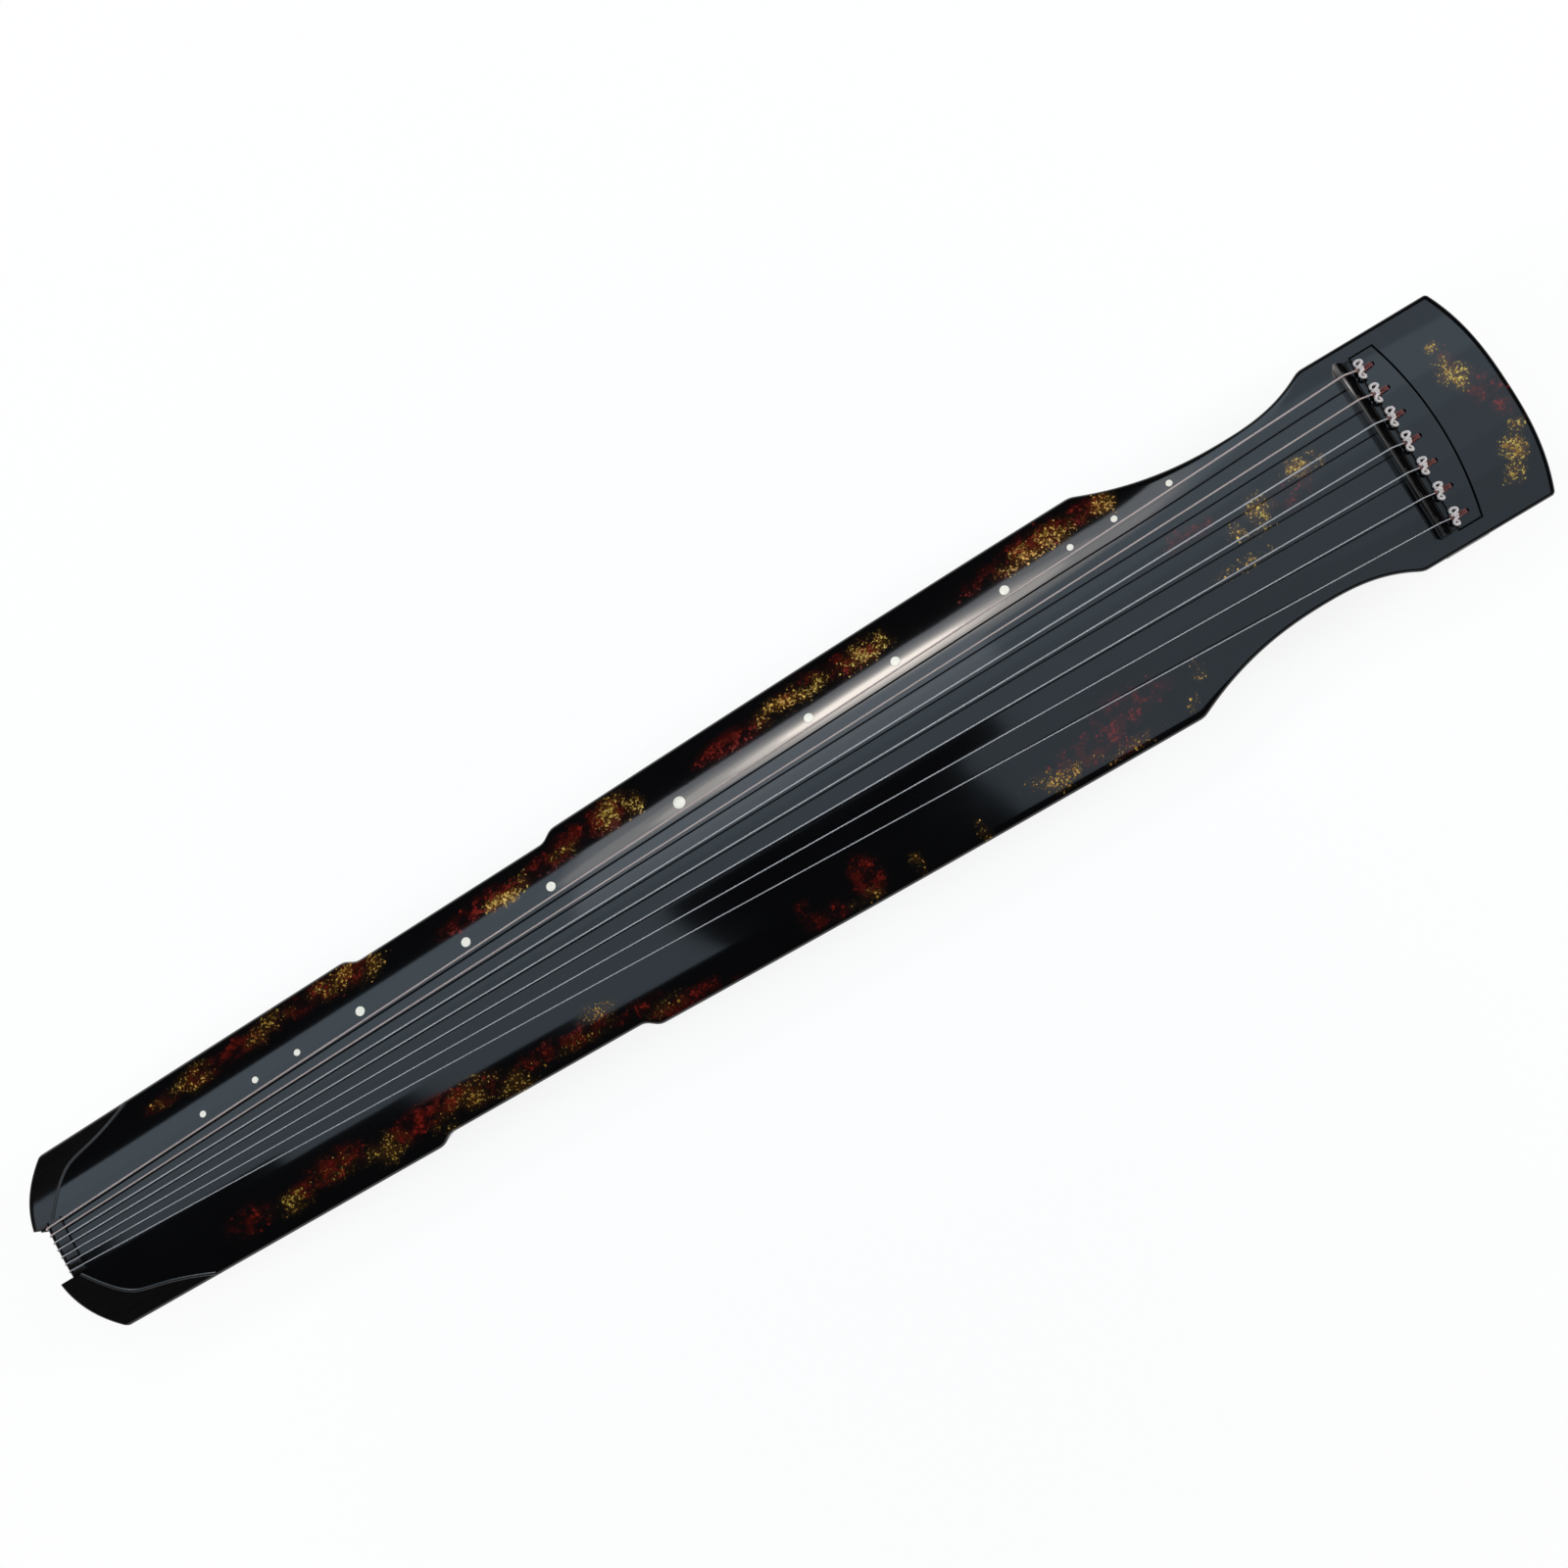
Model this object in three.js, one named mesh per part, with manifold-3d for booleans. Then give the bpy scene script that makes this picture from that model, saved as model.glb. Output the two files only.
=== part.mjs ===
// A guqin: a seven-stringed zither with a lacquered, hollowed body, an outline with one
// rounded neck and one shallow waist, a tall bridge at the head and pegs below the head.
// Millimetres, +X to the head, +Y to the side of the thickest string, +Z up.
// The origin lies below the middle of the body, on the surface that the feet stand on.
import * as THREE from "three";
import { mergeVertices } from "three/addons/utils/BufferGeometryUtils.js";
import Module from "manifold-3d";

const wasm = await Module();
wasm.setup();

// Clearances that every fitted piece shares
const seatGap = 0.3;
const runningGap = 0.5;
const overrun = 2;
const weldDistance = 0.0001;

// Lengths along the body, measured from the bridge's speaking edge or from the nut's
const stringLength = 1120;
const bridgeToHeadTip = 98;
const bridgeToHeadCorner = 85;
const bridgeToHeadNeck = 21;
const bridgeToNeck = 92;
const bridgeToShoulder = 205;
const bridgeToWaist = 653;
const waistLength = 185;
const waistStepLength = 11.5;
const nutToTailCorner = 9;
const nutToTailTip = 17;

// The strings' spread, and what stands across the head: pegs, then a guard on either side
const stringCount = 7;
const stringSpanBridge = 125;
const stringSpanNut = 36;
const stringMiddleBridge = -1.5;
const stringMiddleNut = 0.5;
const pegHeadRadius = 6;
const pegToGuard = 1;
const guardThickness = 8;
const guardToHeadEdge = 0.4;
const bridgeBeyondStrings = 8.5;
const outerStringY = stringSpanBridge / 2 + Math.abs(stringMiddleBridge);

// Half widths of the outline at those stations
const sideLean = 6;
const guardCentreY = outerStringY + pegHeadRadius + pegToGuard + guardThickness / 2;
const headHalf = guardCentreY + guardThickness / 2 + guardToHeadEdge + sideLean;
const neckHalf = 69.4;
const shoulderHalf = 94;
const waistHeadHalf = 83.1;
const waistHeadInnerHalf = 76.2;
const waistTailInnerHalf = 72.6;
const waistTailHalf = 78;
const tailHalf = 72;
const bodyBow = 1.1;
const neckHeadPowerShare = 2.6;
const neckBodyPowerShare = 2.2;
const headArcPowerShare = 2.6;
const tailArcPowerShare = 2.7;

// Heights
const standHeight = 34;
const bottomThickness = 11;
const bodyThickness = 46;
const crown = 16;
const crownHead = 8;
const crownPowerShare = 2.2;
const headDrop = 7;
const headDropLength = 420;
const tailDrop = 2;
const tailDropLength = 220;
const topEdgeRound = 2.4;

// Stations and levels worked out from the sizes above
const overallLength = bridgeToHeadTip + stringLength + nutToTailTip;
const headTipX = overallLength / 2;
const tailTipX = -overallLength / 2;
const bridgeX = headTipX - bridgeToHeadTip;
const nutX = bridgeX - stringLength;
const headCornerX = bridgeX + bridgeToHeadCorner;
const headNeckX = bridgeX - bridgeToHeadNeck;
const neckX = bridgeX - bridgeToNeck;
const shoulderX = bridgeX - bridgeToShoulder;
const waistHeadX = bridgeX - bridgeToWaist;
const waistHeadInnerX = waistHeadX - waistStepLength;
const waistTailX = waistHeadX - waistLength;
const waistTailInnerX = waistTailX + waistStepLength;
const tailCornerX = nutX + nutToTailCorner;
const bottomZ = standHeight;
const seamZ = bottomZ + bottomThickness;
const topZ = bottomZ + bodyThickness;

// Small helpers for numbers and solids
const mix = (a, b, share) => a + (b - a) * share;
const clamp01 = (value) => Math.min(1, Math.max(0, value));
const smooth = (value) => {
  const t = clamp01(value);
  return t * t * (3 - 2 * t);
};
const shareBetween = (value, from, to) => (value - from) / (to - from);

function solidOf(geometry) {
  const bare = geometry.clone();
  bare.deleteAttribute("normal");
  bare.deleteAttribute("uv");
  const merged = mergeVertices(bare, weldDistance);
  const vertProperties = Float32Array.from(merged.attributes.position.array);
  const triVerts = Uint32Array.from(merged.index.array);
  return new wasm.Manifold(new wasm.Mesh({ numProp: 3, vertProperties, triVerts }));
}

function geometryOf(solid) {
  const mesh = solid.getMesh();
  const geometry = new THREE.BufferGeometry();
  const positions = Float32Array.from(mesh.vertProperties);
  geometry.setAttribute("position", new THREE.BufferAttribute(positions, 3));
  geometry.setIndex(new THREE.BufferAttribute(Uint32Array.from(mesh.triVerts), 1));
  geometry.computeVertexNormals();
  return geometry;
}

function cut(solid, ...tools) {
  return tools.reduce((left, tool) => left.subtract(tool), solid);
}

// A box between two corners
function boxBetween(low, high) {
  const size = high.clone().sub(low);
  const box = new THREE.BoxGeometry(size.x, size.y, size.z);
  box.translate(low.x + size.x / 2, low.y + size.y / 2, low.z + size.z / 2);
  return box;
}

// An upright rod with its axis through x, y
function uprightRod(x, y, lowZ, highZ, radius, sides) {
  const rod = new THREE.CylinderGeometry(radius, radius, highZ - lowZ, sides);
  rod.rotateX(Math.PI / 2);
  rod.translate(x, y, (lowZ + highZ) / 2);
  return rod;
}

// A plan outline raised from one level to another
function raised(shape, lowZ, highZ, curveSegments = 1) {
  const depth = highZ - lowZ;
  const solid = new THREE.ExtrudeGeometry(shape, { depth, bevelEnabled: false, curveSegments });
  solid.translate(0, 0, lowZ);
  return solid;
}

// A closed skin over rings of points that all hold the same number of points
function skinOf(rings, capStart, capEnd) {
  const count = rings[0].length;
  const positions = rings.flat().flatMap((point) => [point.x, point.y, point.z]);
  const index = [];
  for (let ring = 0; ring < rings.length - 1; ring += 1) {
    for (let side = 0; side < count; side += 1) {
      const next = (side + 1) % count;
      const a = ring * count + side;
      const b = ring * count + next;
      index.push(a, b, a + count, b, b + count, a + count);
    }
  }
  const last = (rings.length - 1) * count;
  for (const [a, b, c] of capStart) {
    index.push(a, c, b);
  }
  for (const [a, b, c] of capEnd) {
    index.push(last + a, last + b, last + c);
  }
  const geometry = new THREE.BufferGeometry();
  geometry.setAttribute("position", new THREE.Float32BufferAttribute(positions, 3));
  geometry.setIndex(index);
  geometry.computeVertexNormals();
  return geometry;
}

// Triangles that close a ring whose points form a convex outline
function fan(count) {
  return Array.from({ length: count - 2 }, (_, step) => [0, step + 1, step + 2]);
}

// Triangles that fill a flat outline, all turned the same way round as the outline
function fill(points) {
  const flat = points.map(({ x, y }) => new THREE.Vector2(x, y));
  return THREE.ShapeUtils.triangulateShape(flat, []).map(([a, b, c]) => {
    const first = flat[b].clone().sub(flat[a]);
    const second = flat[c].clone().sub(flat[a]);
    return first.cross(second) > 0 ? [a, b, c] : [a, c, b];
  });
}

// A plank with a flat underside: walls follow its outline, and its upper side is an arched
// grid, or flat where no grid is asked for
function plank(stations, shares, upper, lower, arched) {
  const ends = [0, stations.length - 1];
  const sides = [0, shares.length - 1];
  const loop = [];
  stations.forEach((_, along) => loop.push([along, sides[0]]));
  shares.slice(1).forEach((_, across) => loop.push([ends[1], across + 1]));
  stations.slice(1).forEach((_, along) => loop.push([ends[1] - along - 1, sides[1]]));
  shares.slice(2).forEach((_, across) => loop.push([ends[0], sides[1] - across - 1]));
  const place = (pick) => ([along, across]) => pick(stations[along], shares[across]);
  const low = loop.map(place(lower));
  const high = arched
    ? stations.flatMap((station) => shares.map((share) => upper(station, share)))
    : loop.map(place(upper));
  const rim = loop.map(([along, across], step) => (arched ? along * shares.length + across : step));
  const index = [];
  rim.forEach((here, step) => {
    const next = (step + 1) % rim.length;
    const under = high.length + step;
    const underNext = high.length + next;
    index.push(under, underNext, rim[next], under, rim[next], here);
  });
  fill(low).forEach(([a, b, c]) => index.push(high.length + a, high.length + c, high.length + b));
  if (arched) {
    for (let along = 0; along < ends[1]; along += 1) {
      for (let across = 0; across < sides[1]; across += 1) {
        const a = along * shares.length + across;
        const b = a + shares.length;
        index.push(a, b, b + 1, a, b + 1, a + 1);
      }
    }
  } else {
    fill(high).forEach((triangle) => index.push(...triangle));
  }
  const positions = [...high, ...low].flatMap(({ x, y, z }) => [x, y, z]);
  const geometry = new THREE.BufferGeometry();
  geometry.setAttribute("position", new THREE.Float32BufferAttribute(positions, 3));
  geometry.setIndex(index);
  return geometry;
}

// A round tube of one thickness through a list of points, with flat ends
function tubeThrough(points, radius, sides) {
  const rings = [];
  const along = new THREE.Vector3();
  const turn = new THREE.Quaternion();
  const before = new THREE.Vector3().subVectors(points[1], points[0]).normalize();
  const upright = Math.abs(before.z) > Math.SQRT1_2;
  const seed = upright ? new THREE.Vector3(1, 0, 0) : new THREE.Vector3(0, 0, 1);
  const side = new THREE.Vector3().crossVectors(before, seed).normalize();
  points.forEach((point, step) => {
    const back = points[Math.max(step - 1, 0)];
    const front = points[Math.min(step + 1, points.length - 1)];
    const arriving = new THREE.Vector3().subVectors(point, back).normalize();
    const leaving = new THREE.Vector3().subVectors(front, point).normalize();
    along.addVectors(arriving, leaving).normalize();
    turn.setFromUnitVectors(before, along);
    side.applyQuaternion(turn);
    before.copy(along);
    const other = new THREE.Vector3().crossVectors(along, side);
    const ring = [];
    for (let corner = 0; corner < sides; corner += 1) {
      const angle = (2 * Math.PI * corner) / sides;
      const offset = side.clone().multiplyScalar(Math.cos(angle) * radius);
      offset.addScaledVector(other, Math.sin(angle) * radius);
      ring.push(point.clone().add(offset));
    }
    rings.push(ring);
  });
  return skinOf(rings, fan(sides), fan(sides));
}

const point3 = (x, y, z) => new THREE.Vector3(x, y, z);

// Outline: the straight taper that the arch of the face follows, and the true half width
const taperTail = (x) => mix(shoulderHalf, tailHalf, shareBetween(x, shoulderX, tailCornerX));
const taperHead = (x) => mix(shoulderHalf, headHalf, shareBetween(x, shoulderX, headTipX));
const taperHalf = (x) => (x < shoulderX ? taperTail(x) : taperHead(x));

function outlineHalf(x) {
  if (x >= headNeckX) {
    return headHalf;
  }
  if (x >= neckX) {
    const rise = shareBetween(x, neckX, headNeckX) ** neckHeadPowerShare;
    return mix(neckHalf, headHalf, rise);
  }
  if (x >= shoulderX) {
    const rise = shareBetween(x, neckX, shoulderX) ** neckBodyPowerShare;
    return mix(neckHalf, shoulderHalf, rise);
  }
  if (x >= waistHeadX) {
    const share = shareBetween(x, waistHeadX, shoulderX);
    return mix(waistHeadHalf, shoulderHalf, share) + bodyBow * 4 * share * (1 - share);
  }
  if (x >= waistHeadInnerX) {
    return mix(waistHeadInnerHalf, waistHeadHalf, smooth(shareBetween(x, waistHeadInnerX, waistHeadX)));
  }
  if (x >= waistTailInnerX) {
    const share = shareBetween(x, waistTailInnerX, waistHeadInnerX);
    return mix(waistTailInnerHalf, waistHeadInnerHalf, share);
  }
  if (x >= waistTailX) {
    return mix(waistTailHalf, waistTailInnerHalf, smooth(shareBetween(x, waistTailX, waistTailInnerX)));
  }
  return mix(waistTailHalf, tailHalf, clamp01(shareBetween(x, waistTailX, tailCornerX)));
}

// Height of the face: a long level back that dips to the head and the tail, arched across,
// with a flatter arch over the head
function faceZ(x, y) {
  const dipHead = headDrop * smooth(shareBetween(x, headTipX - headDropLength, headTipX));
  const dipTail = tailDrop * smooth(shareBetween(x, tailTipX + tailDropLength, tailTipX));
  const crownHere = mix(crown, crownHead, smooth(shareBetween(x, shoulderX, headNeckX)));
  const arch = crownHere * (Math.abs(y) / taperHalf(x)) ** crownPowerShare;
  return topZ - dipHead - dipTail - arch;
}

// Angle at which the face falls away across the body
function faceSlope(x, y, reach) {
  return Math.atan2(faceZ(x, y + reach) - faceZ(x, y - reach), 2 * reach);
}

// Stations of the outline, closer together where it bends
function steps(from, to, count) {
  return Array.from({ length: count }, (_, step) => mix(from, to, step / count));
}
const outlineStations = [
  ...steps(tailCornerX, waistTailX, 5),
  ...steps(waistTailX, waistTailInnerX, 4),
  ...steps(waistTailInnerX, waistHeadInnerX, 2),
  ...steps(waistHeadInnerX, waistHeadX, 4),
  ...steps(waistHeadX, shoulderX, 8),
  ...steps(shoulderX, neckX, 7),
  ...steps(neckX, headNeckX, 8),
  ...steps(headNeckX, headCornerX, 3),
  headCornerX,
];
const acrossShares = [-1, -0.985, -0.9, -0.75, -0.5, -0.25, 0, 0.25, 0.5, 0.75, 0.9, 0.985, 1];

// The last stations bow out into the arcs of the two ends
const headBowLength = headCornerX - headNeckX;
const tailBowLength = waistTailX - tailCornerX;
function stationX(station, share) {
  const headBow = (headTipX - headCornerX) * (1 - Math.abs(share) ** headArcPowerShare);
  const tailBow = (tailCornerX - tailTipX) * (1 - Math.abs(share) ** tailArcPowerShare);
  const headShare = clamp01(shareBetween(station, headCornerX - headBowLength, headCornerX));
  const tailShare = clamp01(shareBetween(station, tailCornerX + tailBowLength, tailCornerX));
  return station + headBow * headShare - tailBow * tailShare;
}
function facePoint(station, share) {
  const x = stationX(station, share);
  const y = outlineHalf(station) * share;
  const edge = Math.abs(share) === 1 ? topEdgeRound : 0;
  return point3(x, y, faceZ(x, y) - edge);
}
function sidePoint(station, share, z) {
  const leanShare = shareBetween(z, topZ - crown, bottomZ);
  const lean = (sideLean * leanShare) / outlineHalf(station);
  return point3(stationX(station, share), outlineHalf(station) * share * (1 - lean), z);
}
const seamPoint = (station, share) => sidePoint(station, share, seamZ);
const bottomPoint = (station, share) => sidePoint(station, share, bottomZ);
const bodyStock = solidOf(plank(outlineStations, acrossShares, facePoint, seamPoint, true));

// The notch in the tail where the strings turn down between the horns
const notchHalf = 21;
const notchDepth = 12.5;
const notchX = tailTipX + notchDepth;
const notch = (halfWidth) => solidOf(boxBetween(
  point3(tailTipX - overrun, -halfWidth, -overrun),
  point3(notchX, halfWidth, topZ + overrun),
));

// The strings: their thickness, and their places at the bridge and the nut
const stringDiameters = [1.5, 1.35, 1.2, 1.1, 1, 0.9, 0.8];
const stringSides = 6;
const copperStrings = 2;
const stringShare = (number) => 0.5 - number / (stringCount - 1);
const stringBridgeY = (number) => stringMiddleBridge + stringSpanBridge * stringShare(number);
const stringNutY = (number) => stringMiddleNut + stringSpanNut * stringShare(number);
const numbers = Array.from({ length: stringCount }, (_, number) => number);

// Bridge: a hardwood bar let into the face, steep to the strings and sloped to the knots
const bridgeHeight = 16;
const bridgeTopWidth = 5.5;
const bridgeWidth = 14.5;
const bridgeHalf = outerStringY + bridgeBeyondStrings;
const bridgeBackHeight = 5;
const bridgeInset = 3;
const bridgeEndDrop = 1.5;
const bridgeStepsShares = [-1, -0.96, -0.8, -0.6, -0.4, -0.2, 0, 0.2, 0.4, 0.6, 0.8, 0.96, 1];
const insetZ = faceZ(bridgeX, bridgeHalf) - bridgeInset;
const bridgeTopZ = (y) => faceZ(bridgeX, y) + bridgeHeight;
function bridgeSolid() {
  const rings = bridgeStepsShares.map((share) => {
    const y = -bridgeHalf * share;
    const drop = Math.abs(share) === 1 ? bridgeEndDrop : 0;
    const top = bridgeTopZ(y) - drop;
    const back = faceZ(bridgeX + bridgeWidth, y) + bridgeBackHeight - drop;
    return [
      point3(bridgeX, y, insetZ),
      point3(bridgeX + bridgeWidth, y, insetZ),
      point3(bridgeX + bridgeWidth, y, back),
      point3(bridgeX + bridgeTopWidth, y, top),
      point3(bridgeX, y, top),
    ];
  });
  const corners = rings[0].length;
  return solidOf(skinOf(rings, fan(corners), fan(corners)));
}
const bridgePocket = solidOf(boxBetween(
  point3(bridgeX - seatGap, -bridgeHalf - seatGap, insetZ - seatGap),
  point3(bridgeX + bridgeWidth + seatGap, bridgeHalf + seatGap, topZ + overrun),
));

// String-hole plate behind the bridge, its head side an arc, with one hole for each string
const plateFromBridge = 42;
const plateSideFromBridge = 33;
const plateBeyondBridge = 0.5;
const plateHalf = bridgeHalf + plateBeyondBridge;
const cordHoleFromBridge = 25.5;
const cordHoleRadius = 2.6;
const holeSides = 12;
const plateArcSegments = 14;
const cordX = bridgeX + cordHoleFromBridge;
function plateOutline(grow) {
  const front = bridgeX + bridgeWidth + seatGap - grow;
  const side = bridgeX + plateSideFromBridge + grow;
  const reach = 2 * (bridgeX + plateFromBridge + grow) - side;
  const half = plateHalf + grow;
  const shape = new THREE.Shape();
  shape.moveTo(front, -half);
  shape.lineTo(side, -half);
  shape.quadraticCurveTo(reach, 0, side, half);
  shape.lineTo(front, half);
  shape.closePath();
  return shape;
}
const cordHoles = (lowZ, highZ) => numbers.map((number) => solidOf(
  uprightRod(cordX, stringBridgeY(number), lowZ, highZ, cordHoleRadius, holeSides),
));
const aboveFaceZ = topZ + overrun;
const platePocketZ = insetZ - seatGap;
const platePocket = solidOf(raised(plateOutline(seatGap), platePocketZ, aboveFaceZ, plateArcSegments));
const plateStock = solidOf(raised(plateOutline(0), insetZ, aboveFaceZ, plateArcSegments));
const stringHolePlate = cut(plateStock.intersect(bodyStock), ...cordHoles(seamZ, topZ + overrun));

// Peg pool: the recess below the head that the peg heads turn in, with its bearing plate
const poolBeyondPegs = 0.8;
const poolHalf = outerStringY + pegHeadRadius + poolBeyondPegs;
const poolWidth = 24;
const poolDepth = 18;
const poolPlateThickness = 3;
const poolSegments = 6;
const poolZ = bottomZ + poolDepth;
function roundedSlot(centreX, centreY, halfX, halfY, radius) {
  const right = Math.PI / 2;
  const shape = new THREE.Shape();
  shape.moveTo(centreX - halfX + radius, centreY - halfY);
  shape.lineTo(centreX + halfX - radius, centreY - halfY);
  shape.absarc(centreX + halfX - radius, centreY - halfY + radius, radius, -right, 0, false);
  shape.lineTo(centreX + halfX, centreY + halfY - radius);
  shape.absarc(centreX + halfX - radius, centreY + halfY - radius, radius, 0, right, false);
  shape.lineTo(centreX - halfX + radius, centreY + halfY);
  shape.absarc(centreX - halfX + radius, centreY + halfY - radius, radius, right, 2 * right, false);
  shape.lineTo(centreX - halfX, centreY - halfY + radius);
  shape.absarc(centreX - halfX + radius, centreY - halfY + radius, radius, 2 * right, 3 * right, false);
  return shape;
}
const poolRadius = 6;
const poolOutline = (grow) => {
  const halfX = poolWidth / 2 + grow;
  return roundedSlot(cordX, 0, halfX, poolHalf + grow, poolRadius + grow);
};
const poolCut = solidOf(raised(poolOutline(0), bottomZ - overrun, poolZ, poolSegments));
const poolPlateTopZ = poolZ - seatGap;
const poolPlateLowZ = poolPlateTopZ - poolPlateThickness;
const poolPlateStock = raised(poolOutline(-seatGap), poolPlateLowZ, poolPlateTopZ, poolSegments);
const pegPoolPlate = cut(solidOf(poolPlateStock), ...cordHoles(bottomZ, topZ));

// Tuning pegs: turned, hollow from the head to a side hole that takes the cord
const pegTipZ = 4;
const pegHeadZ = poolZ - poolPlateThickness - 2 * seatGap;
const pegHeadHeight = 6;
const pegNeckRadius = 4;
const pegBodyRadius = 5.4;
const pegTipRadius = 3.6;
const pegButtonRadius = 2.2;
const pegBoreRadius = 1.9;
const pegBoreDepth = 26;
const sideHoleRadius = 1.4;
const sideHoleSides = 8;
const pegSides = 12;
const pegNeckShare = 0.22;
const pegBodyShare = 0.55;
const pegTipShare = 0.9;
function pegSolid(number) {
  const length = pegHeadZ - pegTipZ;
  const down = (share) => pegHeadZ - length * share;
  const boreZ = pegHeadZ - pegBoreDepth;
  const profile = [
    [0, pegTipZ],
    [pegButtonRadius, pegTipZ],
    [pegTipRadius, down(pegTipShare)],
    [pegBodyRadius, down(pegBodyShare)],
    [pegNeckRadius, down(pegNeckShare)],
    [pegHeadRadius, pegHeadZ - pegHeadHeight],
    [pegHeadRadius, pegHeadZ],
    [pegBoreRadius, pegHeadZ],
    [pegBoreRadius, boreZ],
    [0, boreZ],
  ].map(([radius, height]) => new THREE.Vector2(radius, height));
  const turned = new THREE.LatheGeometry(profile, pegSides);
  turned.rotateX(Math.PI / 2);
  turned.translate(cordX, stringBridgeY(number), 0);
  const reach = pegBodyRadius + overrun;
  const hole = new THREE.CylinderGeometry(sideHoleRadius, sideHoleRadius, reach, sideHoleSides);
  hole.rotateZ(Math.PI / 2);
  hole.translate(cordX + reach / 2, stringBridgeY(number), boreZ + sideHoleRadius + seatGap);
  return cut(solidOf(turned), solidOf(hole));
}

// Fly-head knots: two small loops and a binding that end each string behind the bridge
const knotRing = 2.9;
const knotCord = 1;
const knotSpread = 3.6;
const bindRadius = 1.7;
const bindLength = 4.4;
const knotFromBridge = 16.4;
const knotLift = 3.2;
const knotTilt = -Math.PI / 6;
const knotRingSegments = 10;
const knotCordSegments = 5;
const bindSides = 8;
const knotX = bridgeX + knotFromBridge;
const knotZ = (y) => faceZ(bridgeX + bridgeWidth, y) + bridgeBackHeight + knotLift;
function knotSolid(number) {
  const y = stringBridgeY(number);
  const loops = [-1, 1].map((way) => {
    const loop = new THREE.TorusGeometry(knotRing, knotCord, knotCordSegments, knotRingSegments);
    loop.translate(0, way * knotSpread, 0);
    return solidOf(loop);
  });
  const bind = new THREE.CylinderGeometry(bindRadius, bindRadius, bindLength, bindSides);
  bind.rotateZ(Math.PI / 2);
  const joined = loops.reduce((left, loop) => left.add(loop), solidOf(bind));
  const knot = geometryOf(joined);
  knot.rotateX(faceSlope(knotX, y, knotSpread));
  knot.rotateY(-knotTilt);
  knot.translate(knotX, y, knotZ(y));
  return knot;
}

// Tuning cords: each comes up from its peg through the head and pulls on its knot
const cordRadius = 1.3;
const cordSides = 8;
const cordInPeg = 20;
const cordRise = 0.6;
const cordBendShares = [0.3, 0.65];
function cordPoints(number) {
  const y = stringBridgeY(number);
  const knotEnd = bindLength / 2 + seatGap + cordRadius * Math.sin(Math.abs(knotTilt));
  const endX = knotX + knotEnd * Math.cos(knotTilt);
  const endZ = knotZ(y) - knotEnd * Math.sin(-knotTilt);
  const plateTop = faceZ(cordX, y);
  const low = point3(cordX, y, pegHeadZ - cordInPeg);
  const mouth = point3(cordX, y, plateTop - cordRise);
  const bends = cordBendShares.map((share) => point3(
    mix(cordX, endX, share * share),
    y,
    mix(mouth.z, endZ, Math.sqrt(share)),
  ));
  return [low, mouth, ...bends, point3(endX, y, endZ)];
}

// Nut: the hardwood gum that carries the strings over the tail, with the lower gum under it
const nutHeight = 3.2;
const nutWidth = 13;
const nutHalf = 22;
const nutDepth = 16;
const nutRound = 3;
const nutRoundShares = [0, 0.25, 0.5, 0.75, 1];
const nutBase = faceZ(nutX, 0) - nutDepth;
const nutTopZ = (y) => faceZ(nutX, y) + nutHeight;
const nutBackX = notchX + nutWidth;
function nutRing(y) {
  const top = nutTopZ(y);
  const quarter = nutRoundShares.map((share) => {
    const angle = (share * Math.PI) / 2;
    const back = nutRound * (1 - Math.sin(angle));
    const fall = nutRound * (1 - Math.cos(angle));
    return point3(notchX + back, y, top - fall);
  });
  const front = point3(notchX, y, nutBase);
  const back = point3(nutBackX, y, nutBase);
  return [front, back, point3(nutBackX, y, top), ...quarter];
}
const nutHalfShares = [1, 0.5, 0, -0.5, -1];
const nutSides = nutRing(0).length;
const nutSolid = solidOf(skinOf(
  nutHalfShares.map((share) => nutRing(nutHalf * share)),
  fan(nutSides),
  fan(nutSides),
));
const nutPocket = solidOf(boxBetween(
  point3(tailTipX - overrun, -nutHalf - seatGap, nutBase - seatGap),
  point3(nutBackX + seatGap, nutHalf + seatGap, topZ + overrun),
));
const lowerGumHeight = 9;
const lowerGumDepth = 14;
const lowerGumProud = 1.5;
const lowerGumTop = bottomZ + lowerGumHeight;
function lowerGumSolid() {
  const low = bottomZ - lowerGumProud;
  const quarter = nutRoundShares.map((share) => {
    const angle = (share * Math.PI) / 2;
    return [notchX + nutRound * (1 - Math.cos(angle)), low + nutRound * (1 - Math.sin(angle))];
  });
  const section = [[notchX, lowerGumTop], ...quarter, [notchX + lowerGumDepth, low]];
  section.push([notchX + lowerGumDepth, lowerGumTop]);
  const rings = [-nutHalf, nutHalf].map((y) => section.map(([x, z]) => point3(x, y, z)));
  return solidOf(skinOf(rings.reverse(), fan(section.length), fan(section.length)));
}
const lowerGumPocket = solidOf(boxBetween(
  point3(tailTipX - overrun, -nutHalf - seatGap, bottomZ - overrun),
  point3(notchX + lowerGumDepth + seatGap, nutHalf + seatGap, lowerGumTop + seatGap),
));

// Tail horns: two hardwood corner plates, each bounded by one long scrolled line
const hornThickness = 9;
const hornBaseZ = topZ - crown - hornThickness;
const scrollStart = 101;
const scrollEnd = 2;
const scrollPoints = 16;
const scrollPullShares = [[0.36, 0.9], [0.25, 0.335]];
function scrollCurve(way, grow) {
  const inner = nutHalf + seatGap + seatGap - grow;
  const edge = tailHalf + sideLean;
  const startX = nutX + scrollEnd + grow;
  const endX = nutX + scrollStart + grow;
  const pulls = scrollPullShares.map(([alongShare, outShare]) => new THREE.Vector2(
    mix(startX, endX, alongShare),
    way * mix(inner, edge, outShare),
  ));
  const start = new THREE.Vector2(startX, way * inner);
  return new THREE.CubicBezierCurve(start, ...pulls, new THREE.Vector2(endX, way * edge));
}
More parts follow.
